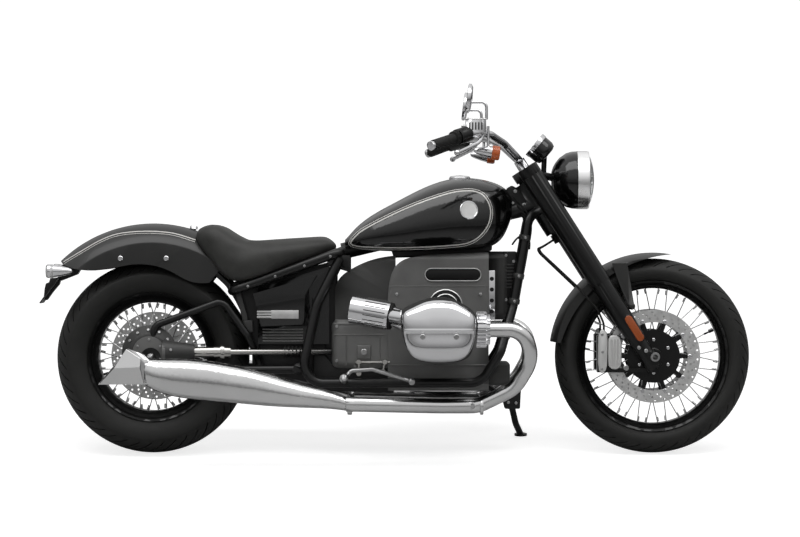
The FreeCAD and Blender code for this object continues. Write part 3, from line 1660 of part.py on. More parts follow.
def fuel_cap():
    """The round filler cap on the tank."""
    base = Vector(cap_x, 0, cap_z - cap_height / 2 + gap)
    outline = [(cap_radius * r, cap_height * 1.5 * up) for r, up in cap_shares]
    return lathe(base, outline, UP, FORWARD)


def fender_space(extra):
    """The rear fender's outer form, grown by a clearance."""
    return arch(REAR_AXLE, rear_fender_front_deg - overrun / 4, rear_fender_tail_deg,
                rear_fender_radius + extra, rear_fender_half + extra, rear_fender_drop,
                rear_fender_clearance, 0.0)


def seat():
    """The rider's saddle, cut to sit over the rails, the fender and the tank's rear end."""
    body = body_loft(seat_shares, seat_section_shares, REAR_AXLE.x + seat_rear_ahead,
                     tank_rear_x - seat_front_gap, seat_low_z, seat_height, seat_half)
    under = [tube(seat_rail_points(side), tube_radius + gap, frame_bend / 2) for side in RIGHT_AND_LEFT]
    under += [fender_strut(side) for side in RIGHT_AND_LEFT]
    under.append(cross_tube(backbone_rear_x, backbone_rear_z, seat_rail_half, tube_radius + gap))
    under.append(cylinder(Vector(backbone_rear_x - frame_bend, 0, backbone_rear_z),
                          Vector(backbone_rear_x + frame_bend, 0, backbone_rear_z),
                          backbone_radius + gap))
    return largest(body.cut(Part.makeCompound(under)).cut(fender_space(gap)).cut(tank()))


# Rear fender and tail


def skirt_trim():
    """What lies below the rear fender's skirt: a curve above, straight sides below."""
    points = [Vector(x, -rear_fender_half * 2, z) for x, z in
              placed(skirt_shares, REAR_AXLE.x - skirt_behind, skirt_length,
                     REAR_AXLE.z + skirt_low_up, skirt_height)]
    curve = Part.BSplineCurve()
    curve.interpolate(points)
    rear = points[0] - FORWARD * (overrun * 2)
    front = points[-1] + Vector(overrun * 2, 0, overrun * 2)
    corners = [points[-1], front, Vector(front.x, front.y, REAR_AXLE.z),
               Vector(rear.x, rear.y, REAR_AXLE.z), rear, points[0]]
    edges = [curve.toShape()] + [Part.LineSegment(a, b).toShape() for a, b in zip(corners, corners[1:])]
    return Part.Face(Part.Wire(edges)).extrude(LEFT * (rear_fender_half * 4))


def rear_fender():
    """The rear fender with four threaded holes in its sides."""
    swept = overrun / 10
    side = rear_fender_clearance + overrun * 4
    solid = arch(REAR_AXLE, rear_fender_front_deg, rear_fender_tail_deg, rear_fender_radius,
                 rear_fender_half, rear_fender_drop, side, 0.0)
    hollow = arch(REAR_AXLE, rear_fender_front_deg - swept, rear_fender_tail_deg + swept,
                  rear_fender_radius, rear_fender_half, rear_fender_drop, side + fender_wall, fender_wall)
    solid = solid.cut(hollow).cut(skirt_trim())
    for ahead in (rack_hole_ahead, -rack_hole_behind):
        spot = from_rear(ahead, rack_hole_up)
        solid = solid.cut(cross_tube(spot.x, spot.z, rear_fender_half * 2, rack_hole_radius))
    return largest(solid)


def plate_axes():
    """The plate holder's lower edge, the way up its face and the way its face looks."""
    slope = math.radians(plate_slope_deg)
    low = from_rear(-plate_behind, plate_up)
    up = Vector(math.cos(slope), 0, math.sin(slope))
    out = Vector(-math.sin(slope), 0, math.cos(slope))
    return low, up, out


def plate_hole(side):
    """The middle of one hole in the plate holder."""
    low, up, out = plate_axes()
    middle = low + up * (plate_length * plate_hole_share) + out * (plate_wall / 2)
    return middle + LEFT * (side * plate_hole_half)


def tail_bracket():
    """The number-plate holder, left blank, with its arm, its two holes and the indicators' bar."""
    low, up, out = plate_axes()
    corners = [low, low + up * plate_length, low + up * plate_length + out * plate_wall,
               low + out * plate_wall]
    slab = plate([(corner.x, corner.z) for corner in corners], -plate_half, plate_half)
    arm = plate(placed(tail_arm_shares, REAR_AXLE.x - tail_arm_behind, tail_arm_length,
                       REAR_AXLE.z + tail_arm_up, tail_arm_height), -tail_half, tail_half)
    spot = from_rear(-rear_indicator_behind - indicator_radius, rear_indicator_up)
    bar = cross_tube(spot.x, spot.z, rear_indicator_half, indicator_bar_radius)
    holes = [cylinder(plate_hole(side) - out * overrun, plate_hole(side) + out * overrun,
                      plate_hole_radius) for side in RIGHT_AND_LEFT]
    reach = rear_fender_half * 2
    inside = Part.makeCylinder(rear_fender_radius - fender_wall - gap, reach * 2,
                               REAR_AXLE - LEFT * reach, LEFT)
    solid = fused([slab, arm, bar]).cut(Part.makeCompound(holes)).common(inside)
    return largest(solid.cut(indicator_pair(gap)).cut(rear_fender()))


def indicator_pair(extra):
    """The two rear indicators, grown by a clearance."""
    front = from_rear(-rear_indicator_behind + indicator_length / 4, rear_indicator_up,
                      -rear_indicator_half)
    return both_sides(bullet(front, -FORWARD, UP, extra))


def rear_indicators():
    """The two rear indicators."""
    return indicator_pair(0.0)


# Side panels and foot controls


def side_panels():
    """The battery box with the two side panels on it."""
    rear_x = REAR_AXLE.x + panel_rear_ahead
    outline = placed(panel_shares, rear_x, panel_front_x - rear_x, panel_low_z, panel_height)
    right = plate(outline, -panel_outer_half, -panel_inner_half)
    box_rear = REAR_AXLE.x + box_rear_ahead
    box_front = gearbox_rear_x - box_front_gap
    box = plate([
        (box_rear, box_low_z), (box_front, box_low_z), (box_front, box_front_z), (box_rear, box_rear_z),
    ], -box_half, box_half)
    pad = block(Vector(box_rear, -panel_inner_half, panel_low_z),
                Vector(tray_x - tube_radius, panel_inner_half, box_rear_z))
    tray_space = cross_tube(tray_x, tray_z, cradle_half, tube_radius + gap)
    return fused([box.fuse(pad).cut(tray_space), right, mirrored(right)])


def foot_controls():
    """The foot pegs with the brake pedal and the gear lever."""
    peg = Vector(peg_x, 0, peg_z)
    points = [Vector(x, -pedal_half, z) for x, z in
              placed(pedal_shares, peg_x, pedal_length, peg_z, pedal_rise)]
    toe = points[-1]
    pieces = [
        cylinder(Vector(peg_x, -cradle_half, rail_z), peg - LEFT * (peg_inner_half + gap),
                 peg_arm_radius),
        cylinder(peg - LEFT * peg_inner_half, peg - LEFT * peg_outer_half, peg_radius),
        tube(points, pedal_radius, overrun),
        cylinder(toe - LEFT * (overrun * 2), toe + LEFT * overrun, pedal_pad_radius),
    ]
    rail = cylinder(Vector(rail_lift_x, -cradle_half, rail_z), Vector(rail_front_x, -cradle_half, rail_z),
                    tube_radius + gap)
    return both_sides(fused(pieces).cut(rail))


# Placement and export


def nodes():
    """Every node by name."""
    front_rim_inner = front_seat_radius - front_rim_depth
    rear_rim_inner = rear_seat_radius - rear_rim_depth
    return {
        "front_tyre": lambda: tyre(FRONT_AXLE, front_tyre_radius, front_tyre_width, front_crown_drop,
                                   front_seat_radius, front_rim_width),
        "front_rim": lambda: rim(FRONT_AXLE, front_seat_radius, front_rim_depth, front_rim_width),
        "front_hub": lambda: hub_and_spokes(FRONT_AXLE, front_axle_radius + running_clearance,
                                            front_hub_wall, front_hub_half, front_hub_flange,
                                            front_rim_inner, front_rim_width),
        "front_discs": front_discs,
        "front_carriers": front_carriers,
        "rear_tyre": lambda: tyre(REAR_AXLE, rear_tyre_radius, rear_tyre_width, rear_crown_drop,
                                  rear_seat_radius, rear_rim_width),
        "rear_rim": lambda: rim(REAR_AXLE, rear_seat_radius, rear_rim_depth, rear_rim_width),
        "rear_hub": lambda: hub_and_spokes(REAR_AXLE, rear_axle_radius + running_clearance,
                                           rear_hub_wall, rear_hub_half, rear_hub_flange,
                                           rear_rim_inner, rear_rim_width),
        "rear_disc": rear_disc,
        "front_axle": front_axle,
        "fork_covers": fork_covers,
        "fork_sliders": fork_sliders,
        "yokes": yokes,
        "lamp_shell": lamp_shell,
        "lamp_rim": lamp_rim,
        "lamp_lens": lamp_lens,
        "dial": dial,
        "handlebar": handlebar,
        "grips": grips,
        "controls": controls,
        "mirrors": mirrors,
        "front_indicators": front_indicators,
        "hoses": hoses,
        "front_fender": front_fender,
        "front_calipers": front_calipers,
        "frame": frame,
        "side_stand": side_stand,
        "swingarm": swingarm,
        "rear_axle": rear_axle,
        "final_drive": final_drive,
        "drive_shaft": drive_shaft,
        "rear_caliper": rear_caliper,
        "engine_case": engine_case,
        "front_covers": front_covers,
        "cylinders": cylinders,
        "valve_covers": valve_covers,
        "intakes": intakes,
        "headers": headers,
        "mufflers": mufflers,
        "tank": tank,
        "fuel_cap": fuel_cap,
        "seat": seat,
        "rear_fender": rear_fender,
        "tail_bracket": tail_bracket,
        "rear_indicators": rear_indicators,
        "side_panels": side_panels,
        "foot_controls": foot_controls,
    }


def leaned(shape):
    """The shape leaned over onto the side stand, about the line where the wheels meet the floor."""
    tilted = shape.copy()
    tilted.rotate(Vector(0, 0, 0), FORWARD, -lean_deg)
    return tilted


def main():
    os.makedirs("parts", exist_ok=True)
    shapes = {name: leaned(make()) for name, make in nodes().items()}
    whole = Part.makeCompound(list(shapes.values()))
    box = whole.optimalBoundingBox(False, False)
    shift = Vector(-(box.XMin + box.XMax) / 2, -(box.YMin + box.YMax) / 2, -box.ZMin)
    for name, shape in shapes.items():
        shape.translate(shift)
        shape.exportStep(f"parts/{name}.step")


if __name__ == "__main__":
    main()
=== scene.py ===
# %% [markdown]
# # Dressing a cruiser motorcycle
# The metal parts of this machine come ready made from the CAD model. This lesson gives them their
# finishes and adds what a CAD solid leaves out: tread, stripes, a stuffed saddle, screws and lenses.
# Every new piece is drawn with the machine standing upright, and is then leaned over like the rest.

# %% Load the frame
import json
import math

import bpy
from mathutils import Matrix, Vector

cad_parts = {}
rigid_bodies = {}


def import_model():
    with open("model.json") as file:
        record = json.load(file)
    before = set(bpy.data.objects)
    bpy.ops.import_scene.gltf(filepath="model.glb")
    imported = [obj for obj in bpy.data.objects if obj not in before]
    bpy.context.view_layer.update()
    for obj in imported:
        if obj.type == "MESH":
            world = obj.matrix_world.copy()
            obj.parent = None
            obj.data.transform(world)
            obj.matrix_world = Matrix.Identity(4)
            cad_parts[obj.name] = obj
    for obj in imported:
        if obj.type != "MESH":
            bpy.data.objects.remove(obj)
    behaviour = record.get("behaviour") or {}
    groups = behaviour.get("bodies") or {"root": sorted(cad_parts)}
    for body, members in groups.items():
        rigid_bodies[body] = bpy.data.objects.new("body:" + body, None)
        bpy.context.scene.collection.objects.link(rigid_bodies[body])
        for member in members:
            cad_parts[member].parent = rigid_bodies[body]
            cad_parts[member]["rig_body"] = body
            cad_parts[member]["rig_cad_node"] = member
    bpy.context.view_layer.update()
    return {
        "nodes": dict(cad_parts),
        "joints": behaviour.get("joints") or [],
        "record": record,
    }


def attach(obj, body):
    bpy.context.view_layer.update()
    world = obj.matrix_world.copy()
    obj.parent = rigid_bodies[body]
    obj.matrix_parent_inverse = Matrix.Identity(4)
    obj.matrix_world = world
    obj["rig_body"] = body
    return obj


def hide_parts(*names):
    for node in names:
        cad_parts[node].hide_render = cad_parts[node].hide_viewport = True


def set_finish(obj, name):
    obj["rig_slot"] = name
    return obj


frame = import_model()
nodes = frame["nodes"]
joints = {joint["name"]: joint for joint in frame["joints"]}
bpy.ops.object.select_all(action="DESELECT")
print("CAD nodes:", len(nodes))

# %% [markdown]
# The machine leans 8 degrees onto its side stand. Its upright axes are the easy ones to draw in, so
# one matrix turns upright places into the leaned frame. It is found from the front wheel's joint,
# whose upright place is known. X points ahead, Y to the left and Z up. Side views are drawn in
# millimetres as (x, z), and a side is -1 on the right and 1 on the left. The left cylinder stands
# 20 millimetres ahead of the right one.

# %% The lean
LEAN = math.radians(8.0)
WHEELBASE = 1.694
FRONT_AXLE = Vector((WHEELBASE / 2, 0.0, 0.330))
turn_over = Matrix.Rotation(-LEAN, 4, "X")
packed_axle = Vector(joints["front_wheel_spin"]["pos_m"])
TO_FRAME = Matrix.Translation(packed_axle - turn_over @ FRONT_AXLE) @ turn_over
TO_UPRIGHT = TO_FRAME.inverted()
rear_place = TO_UPRIGHT @ Vector(joints["rear_wheel_spin"]["pos_m"])
REAR_AXLE = Vector((-WHEELBASE / 2, 0.0, rear_place.z))
RAKE = math.radians(32.6)
FORK_UP = Vector((-math.sin(RAKE), 0, math.cos(RAKE)))
FORK_AHEAD = Vector((math.cos(RAKE), 0, math.sin(RAKE)))
LEG_BEHIND_AXLE = 19.0
SIDES = (-1, 1)
CYLINDER_SHIFTS = ((-1, 0), (1, 20))
print("rear axle, upright:", [round(value, 4) for value in rear_place])

# %% [markdown]
# Small helpers for work as by hand: pick one object, go in and out of edit mode, choose faces by a
# test on their place, and finish a piece by leaning it, smoothing it and letting it ride on a body.


# %% Workshop helpers
def mm(*values):
    """A point given in millimetres."""
    return Vector(values) / 1000.0


def pick(obj):
    """Selects this object alone."""
    bpy.ops.object.select_all(action="DESELECT")
    obj.select_set(True)
    bpy.context.view_layer.objects.active = obj


def edit(obj, mode="FACE", chosen="SELECT"):
    """Opens an object for editing, with all of it chosen or none."""
    pick(obj)
    bpy.ops.object.mode_set(mode="EDIT")
    bpy.ops.mesh.select_mode(type=mode)
    bpy.ops.mesh.select_all(action=chosen)


def leave():
    """Closes edit mode."""
    bpy.ops.object.mode_set(mode="OBJECT")


def choose_faces(obj, test):
    """Opens an object with the faces chosen for which the test on centre and normal is true."""
    edit(obj, "FACE", "DESELECT")
    leave()
    for face in obj.data.polygons:
        face.select = bool(test(face.center, face.normal))
    bpy.ops.object.mode_set(mode="EDIT")
    bpy.ops.mesh.select_mode(type="FACE")


def modify(obj, kind, **settings):
    """Adds a modifier and applies it at once."""
    pick(obj)
    modifier = obj.modifiers.new(kind.title(), kind)
    for key, value in settings.items():
        setattr(modifier, key, value)
    bpy.ops.object.modifier_apply(modifier=modifier.name)
    return obj


def outward(obj):
    """Merges doubled corners and turns every face outwards."""
    edit(obj, "VERT")
    bpy.ops.mesh.remove_doubles(threshold=0.00002)
    bpy.ops.mesh.normals_make_consistent(inside=False)
    leave()
    return obj


def copy_of(obj, name):
    """A copy with its own mesh."""
    twin = obj.copy()
    twin.data = obj.data.copy()
    twin.name = name
    bpy.context.scene.collection.objects.link(twin)
    return twin


def released(obj):
    """Frees a copy from the parent, body, slot and CAD name of what it was copied from."""
    obj.parent = None
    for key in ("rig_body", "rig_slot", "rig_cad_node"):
        if key in obj:
            del obj[key]
    return obj


def mirrored(obj):
    """Moves a piece to the other side of the machine, as its mirror image."""
    obj.data.transform(Matrix.Scale(-1.0, 4, (0, 1, 0)))
    edit(obj)
    bpy.ops.mesh.flip_normals()
    leave()
    return obj


def settle(obj, body, material, slot=None, angle=35.0, upright=True, weighted=False):
    """Leans a finished piece, smooths it, gives it its finish and lets it ride on a body."""
    obj.data.transform(obj.matrix_world)
    obj.matrix_world = Matrix.Identity(4)
    if upright:
        obj.data.transform(TO_FRAME)
    obj.data.materials.clear()
    obj.data.materials.append(material)
    pick(obj)
    bpy.ops.object.shade_smooth_by_angle(angle=math.radians(angle))
    if weighted:
        modify(obj, "WEIGHTED_NORMAL", keep_sharp=True, weight=80)
    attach(obj, body)
    if slot:
        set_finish(obj, slot)


def settle_all(name, pieces, *how):
    """Joins pieces under one name and settles them."""
    pick(pieces[0])
    for piece in pieces:
        piece.select_set(True)
    if len(pieces) > 1:
        bpy.ops.object.join()
    pieces[0].name = name
    settle(pieces[0], *how)


# %% [markdown]
# Three ways to start a piece. A sheet is a circle whose corners are moved to an outline and which is
# then extruded. A turned piece is a ring of corners spun about its axle. A rod is a curve with a
# round section, made a mesh.


# %% Sheets, turned pieces and rods
def ring_of(name, points, filled):
    """A closed ring of corners at these places, filled or bare."""
    bpy.ops.mesh.primitive_circle_add(vertices=len(points), radius=0.01,
                                      fill_type="NGON" if filled else "NOTHING")
    ring = bpy.context.object
    ring.name = name
    for corner, place in zip(ring.data.vertices, points):
        corner.co = place
    return ring


def sheet_piece(name, outline, near_y, far_y, bevel=0.0, segments=3):
    """A side-view outline in millimetres, extruded across the machine with its edges rounded."""
    sheet = ring_of(name, [mm(x, near_y, z) for x, z in outline], True)
    edit(sheet)
    bpy.ops.mesh.extrude_region_move(TRANSFORM_OT_translate={"value": (0, (far_y - near_y) / 1000.0, 0)})
    leave()
    outward(sheet)
    if bevel:
        modify(sheet, "BEVEL", width=bevel / 1000.0, segments=segments, limit_method="ANGLE",
               angle_limit=math.radians(40), use_clamp_overlap=True)
    return sheet


def grown(sheet, centre, way, steps):
    """Extrudes a flat outline in steps of length and scale, each step resized about a centre."""
    edit(sheet)
    for length, scale in steps:
        bpy.ops.mesh.extrude_region_move(TRANSFORM_OT_translate={"value": [length * share for share in way]})
        bpy.ops.transform.resize(value=[1 if share else scale for share in way], center_override=centre)
    leave()
    return outward(sheet)


def turned_piece(name, profile, centre, axis, steps=64):
    """A closed profile of (radius, distance along the axis) in millimetres, spun round the axis."""
    axis = Vector(axis).normalized()
    side = axis.orthogonal().normalized()
    ring = ring_of(name, [centre + (side * r + axis * along) / 1000.0 for r, along in profile], False)
    edit(ring, "VERT")
    bpy.ops.mesh.spin(steps=steps, angle=math.tau, center=centre, axis=axis)
    leave()
    return outward(ring)


def rod(name, points, radius, cyclic=False, sides=3, smooth=True):
    """A round bar along points in metres."""
    bpy.ops.curve.primitive_nurbs_path_add()
    path = bpy.context.object
    path.name = name
    curve = path.data
    curve.splines.clear()
    spline = curve.splines.new("NURBS" if smooth else "POLY")
    spline.points.add(len(points) - 1)
    for knot, place in zip(spline.points, points):
        knot.co = (*place, 1.0)
    if smooth:
        spline.order_u = 3
        spline.use_endpoint_u = not cyclic
    spline.use_cyclic_u = cyclic
    curve.dimensions = "3D"
    curve.resolution_u = 8
    curve.bevel_depth = radius / 1000.0
    curve.bevel_resolution = sides
    curve.use_fill_caps = True
    pick(path)
    bpy.ops.object.convert(target="MESH")
    return outward(bpy.context.object)


def rectangle(x, z, x2, z2):
    """A side-view outline from two opposite corners."""
    return [(x, z), (x2, z), (x2, z2), (x, z2)]


def stadium(x, z, half_length, half_height, steps=10):
    """A long side-view outline with round ends."""
    ends = half_length - half_height
    points = []
    for middle, turn in ((x + ends, -math.pi / 2), (x - ends, math.pi / 2)):
        for step in range(steps + 1):
            angle = turn + math.pi * step / steps
            points.append((middle + half_height * math.cos(angle), z + half_height * math.sin(angle)))
    return points


def round_way(degrees):
    """The way outwards at this angle round a wheel, from straight ahead and upwards."""
    angle = math.radians(degrees)
    return Vector((math.cos(angle), 0, math.sin(angle)))


def on_circle(centre, radius, degrees):
    """A side-view point on a circle round a centre, all in millimetres."""
    place = centre + round_way(degrees) * radius
    return place.x, place.z


def sheet_pair(name, outline, near, far, *rounding):
    """A sheet on each side of the machine, between these distances from its middle."""
    return [sheet_piece(name, outline, side * near, side * far, *rounding) for side in SIDES]


def turned_pair(name, profile, x, y, z, steps):
    """A turned piece on each side of the machine, facing outwards."""
    return [turned_piece(name, profile, mm(x, side * y, z), (0, side, 0), steps) for side in SIDES]


def bar_pair(name, line, y, radius):
    """A straight bar on each side of the machine, along a side-view line (x, z, x, z)."""
    x, z, x2, z2 = line
    return [rod(name, [mm(x, side * y, z), mm(x2, side * y, z2)], radius, smooth=False) for side in SIDES]


# %% [markdown]
# Every finish is one node tree: a base colour that drifts a little, a roughness that varies with it,
# and a fine bump. The scale of the drift and of the grain is what tells paint from cast metal.


# %% A finish from noise
def add_node(tree, kind, operation=None, **values):
    """A new shader node with these inputs set. An underscore in a name stands for a space."""
    made = tree.nodes.new("ShaderNode" + kind)
    if operation:
        made.operation = operation
    for key, value in values.items():
        made.inputs[key.replace("_", " ")].default_value = value
    return made


def wire(tree, *wires):
    """Joins sockets, each wire given as a node, its outlet, the next node and its inlet."""
    for start, outlet, end, inlet in wires:
        tree.links.new(start.outputs[outlet], end.inputs[inlet])


def finish(name, colour, rough, metal=0.0, coat=0.0, drift=0.12, drift_scale=6.0, grain_scale=900.0,
           grain=0.02, rough_spread=0.06, shine=0.5):
    """A surface whose colour, roughness and bump vary with two sizes of noise."""
    material = bpy.data.materials.new(name)
    material.use_nodes = True
    tree = material.node_tree
    shader = tree.nodes["Principled BSDF"]
    place = add_node(tree, "TexCoord")
    cloud = add_node(tree, "TexNoise", Scale=drift_scale, Detail=6.0)
    grit = add_node(tree, "TexNoise", Scale=grain_scale, Detail=3.0)
    ramp = add_node(tree, "ValToRGB")
    for stop, position, share in zip(ramp.color_ramp.elements, (0.3, 0.7), (1 - drift, 1 + drift)):
        stop.position = position
        stop.color = (*(min(1.0, channel * share) for channel in colour), 1)
    spread = add_node(tree, "MapRange", To_Min=max(0.0, rough - rough_spread), To_Max=rough + rough_spread)
    bump = add_node(tree, "Bump", Strength=min(1.0, grain * 10), Distance=0.0004)
    wire(tree, (place, "Object", cloud, "Vector"), (cloud, "Fac", ramp, "Fac"),
         (ramp, "Color", shader, "Base Color"), (cloud, "Fac", spread, "Value"),
         (spread, "Result", shader, "Roughness"), (place, "Object", grit, "Vector"),
         (grit, "Fac", bump, "Height"), (bump, "Normal", shader, "Normal"))
    for key, value in {"Metallic": metal, "Coat Weight": coat, "Coat Roughness": 0.03,
                       "Specular IOR Level": shine}.items():
        shader.inputs[key].default_value = value
    return material


def grey(level, blue=None):
    """A grey, with a blue of its own where one is given."""
    return level, level, level if blue is None else blue


GLOSS_BLACK = finish("gloss_black_paint", grey(0.003), 0.16, coat=0.45, grain=0.0, drift=0.3,
                     rough_spread=0.03, shine=0.35)
SATIN_BLACK = finish("satin_fender_paint", grey(0.014, 0.0135), 0.38, coat=0.12, grain=0.01, shine=0.4)
FRAME_BLACK = finish("frame_powder_coat", grey(0.004), 0.33, coat=0.15, grain=0.06, grain_scale=700,
                     shine=0.3)
FORK_BLACK = finish("fork_black", grey(0.004), 0.3, coat=0.1, grain=0.01, shine=0.25)
CASE_GREY = finish("cast_case_grey", grey(0.155, 0.152), 0.5, metal=0.25, drift=0.14, grain=0.12,
                   grain_scale=1100, drift_scale=9.0, shine=0.35)
CASE_MID = finish("cast_gearbox_grey", grey(0.17, 0.166), 0.48, metal=0.25, drift=0.2, grain=0.12,
                  grain_scale=1100, shine=0.35)
CASE_DARK = finish("cast_case_dark", grey(0.046, 0.045), 0.45, metal=0.1, grain=0.1, grain_scale=1100,
                   shine=0.35)
CHROME = finish("bright_chrome", grey(0.66, 0.67), 0.09, metal=1.0, drift=0.03, grain=0.0,
                rough_spread=0.03, drift_scale=14.0)
PIPE_CHROME = finish("exhaust_chrome", grey(0.62), 0.17, metal=1.0, drift=0.05, grain=0.004,
                     rough_spread=0.05, drift_scale=8.0)
SATIN_CHROME = finish("satin_chrome", grey(0.93), 0.28, metal=1.0, drift=0.03, grain=0.0)
STEEL = finish("brushed_disc_steel", grey(0.62, 0.615), 0.36, metal=1.0, drift=0.1, grain=0.03,
               grain_scale=1500, drift_scale=30.0)
SPOKE_STEEL = finish("spoke_steel", grey(0.5), 0.26, metal=1.0, drift=0.08, grain=0.01)
NICKEL = finish("shaft_nickel", (0.5, 0.49, 0.47), 0.24, metal=1.0, drift=0.08, grain=0.01)
SILVER = finish("caliper_silver", grey(0.66, 0.65), 0.38, metal=0.9, drift=0.08, grain=0.06)
BOLT_STEEL = finish("zinc_screws", grey(0.36), 0.3, metal=1.0, drift=0.1, grain=0.02)
RUBBER = finish("grip_rubber", grey(0.012, 0.0115), 0.62, drift=0.2, grain=0.07, grain_scale=700,
                shine=0.25)
TYRE = finish("tyre_rubber", grey(0.014, 0.0132), 0.58, drift=0.22, drift_scale=12.0, grain=0.05,
              grain_scale=600, rough_spread=0.08, shine=0.3)
PLASTIC = finish("dark_plastic", grey(0.006), 0.42, grain=0.08, grain_scale=1300, shine=0.3)
PANEL = finish("side_panel_paint", grey(0.01), 0.22, coat=0.5, grain=0.0, shine=0.3)
RIM_BLACK = finish("rim_black", grey(0.005), 0.3, coat=0.3, grain=0.01, shine=0.3)
STRIPE = finish("stripe_cream", (0.72, 0.71, 0.68), 0.3, coat=0.3, drift=0.04, grain=0.0)
LEATHER = finish("saddle_leather", grey(0.032, 0.030), 0.5, drift=0.25, drift_scale=18.0, grain=0.16,
                 grain_scale=420, rough_spread=0.1, shine=0.3)
DIAL_WHITE = finish("dial_white", grey(0.6, 0.58), 0.5, drift=0.03, grain=0.0)
NEEDLE_RED = finish("needle_red", (0.5, 0.03, 0.02), 0.4, drift=0.05, grain=0.0)
print("finishes:", len(bpy.data.materials))

# %% [markdown]
# Clear and tinted lenses let light through. The lamp's glass is nearly clear, the indicators' lenses
# and the fork's reflector are amber, and both get a faint moulded ripple.


# %% Lenses and mirrors
def lens_finish(name, colour, rough, clear, ripple_scale):
    """A glassy finish with moulded ripples."""
    material = finish(name, colour, rough, drift=0.05, grain=0.05, grain_scale=ripple_scale)
    shader = material.node_tree.nodes["Principled BSDF"]
    shader.inputs["Transmission Weight"].default_value = clear
    shader.inputs["IOR"].default_value = 1.49
    return material


GLASS = lens_finish("lamp_glass", (0.93, 0.94, 0.95), 0.04, 0.9, 60.0)
CLEAR = lens_finish("clear_lens", grey(0.75), 0.1, 0.5, 200.0)
AMBER = lens_finish("amber_lens", (0.62, 0.13, 0.03), 0.16, 0.12, 500.0)
REFLECTOR = lens_finish("amber_reflector", (0.40, 0.085, 0.018), 0.14, 0.05, 800.0)
MIRROR = finish("mirror_glass", (0.86, 0.87, 0.88), 0.02, metal=1.0, drift=0.01, grain=0.0,
                rough_spread=0.01)

# %% [markdown]
# The CAD nodes whose shape is already right only need a finish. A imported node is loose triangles, so
# each is copied, merged and smoothed, and the copy stands for the node. A few also get rounded edges.

# %% Finishes for the CAD nodes
KEPT = {
    "front_rim": RIM_BLACK, "rear_rim": RIM_BLACK,
    "front_hub": SPOKE_STEEL, "rear_hub": SPOKE_STEEL,
    "front_discs": STEEL, "rear_disc": STEEL,
    "front_carriers": FORK_BLACK, "front_axle": BOLT_STEEL, "rear_axle": BOLT_STEEL,
    "fork_covers": FORK_BLACK, "fork_sliders": FORK_BLACK, "yokes": FORK_BLACK,
    "lamp_shell": GLOSS_BLACK, "lamp_rim": SATIN_CHROME, "lamp_lens": GLASS, "dial": GLOSS_BLACK,
    "handlebar": CHROME, "controls": CHROME, "mirrors": CHROME, "front_indicators": CHROME,
    "front_fender": SATIN_BLACK, "front_calipers": FORK_BLACK, "frame": FRAME_BLACK,
    "side_stand": FRAME_BLACK, "swingarm": FRAME_BLACK, "final_drive": CASE_DARK,
    "drive_shaft": NICKEL, "rear_caliper": CASE_DARK, "engine_case": CASE_GREY,
    "front_covers": CASE_DARK, "cylinders": CASE_DARK, "intakes": CHROME, "headers": PIPE_CHROME,
    "mufflers": PIPE_CHROME, "tank": GLOSS_BLACK, "fuel_cap": CHROME, "rear_fender": SATIN_BLACK,
    "tail_bracket": PLASTIC, "rear_indicators": CHROME, "side_panels": PANEL,
    "foot_controls": BOLT_STEEL, "grips": RUBBER, "hoses": RUBBER,
}
ROUNDED_EDGES = {"intakes": 7.0, "fuel_cap": 1.5, "mirrors": 1.0, "final_drive": 2.5}
body_of_node = {name: body for body, names in frame["record"]["behaviour"]["bodies"].items()
                for name in names}
slot_of_node = {part["node"]: part["material_slot"] for part in frame["record"]["subparts"]}


def smoothed_node(name, material):
    """A merged and smoothed copy of a CAD node, which stands for it."""
    smooth = released(outward(copy_of(nodes[name], name + "_finished")))
    if name in ROUNDED_EDGES:
        modify(smooth, "BEVEL", width=ROUNDED_EDGES[name] / 1000.0, segments=4, limit_method="ANGLE",
               angle_limit=math.radians(60))
    settle(smooth, body_of_node[name], material, slot_of_node[name], 32.0, upright=False, weighted=True)
    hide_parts(name)


for name, material in KEPT.items():
    smoothed_node(name, material)
print("finished nodes:", len(KEPT))

# %% [markdown]
# Some nodes carry two finishes. For example, the airbox is dark on a grey engine, the switch housings
# are black on chrome controls, and the risers are chrome on a black yoke. The front axle's bore is
# painted black, as painted shade in the hole. The second finish goes to faces by their upright place.

# %% Second finishes by place
CASE_REAR = -50.5
AIRBOX_FLOOR = 456
RISER_FOOT = 771
RISER_HALF = 75
BAR_BEND = Vector((223.9, -329.8, 1076.8))
BAR_END = Vector((89.7, -478.0, 1028.9))
BAR_WAY = (BAR_END - BAR_BEND).normalized()
BAR_RUN = (BAR_END - BAR_BEND).length
HOUSING_SHARES = (0.035, 0.37)
HOUSING_RADIUS = 27.5
DIAL_FACE = Vector((447, 0, 1048))
DIAL_TILT = 40
DIAL_BACK = round_way(-DIAL_TILT)
DIAL_RING = 15
FINAL_DRIVE = REAR_AXLE * 1000 + Vector((-6, 0, 17))
FINAL_DRIVE_CAP = 56
SHAFT_JOINT_X = -405
# Within this radius the axle's bore is painted black, as painted shade in the hole.
BORE_SHADE_RADIUS = 9.6


def from_centre(place, centre):
    """How far a place is from a centre in side view."""
    return math.hypot(place.x - centre.x, place.z - centre.z)


def paint_faces(node, material, test):
    """Gives a second finish to the faces whose upright place, in millimetres, passes the test."""
    obj = bpy.data.objects[node + "_finished"]
    obj.data.materials.append(material)
    for face in obj.data.polygons:
        if test((TO_UPRIGHT @ face.center) * 1000):
            face.material_index = len(obj.data.materials) - 1


def in_housing(place):
    """Is this place on a switch housing?"""
    arm = Vector((place.x, -abs(place.y), place.z)) - BAR_BEND
    along = arm.dot(BAR_WAY)
    start, end = HOUSING_SHARES
    return start < along / BAR_RUN < end and (arm - BAR_WAY * along).length < HOUSING_RADIUS


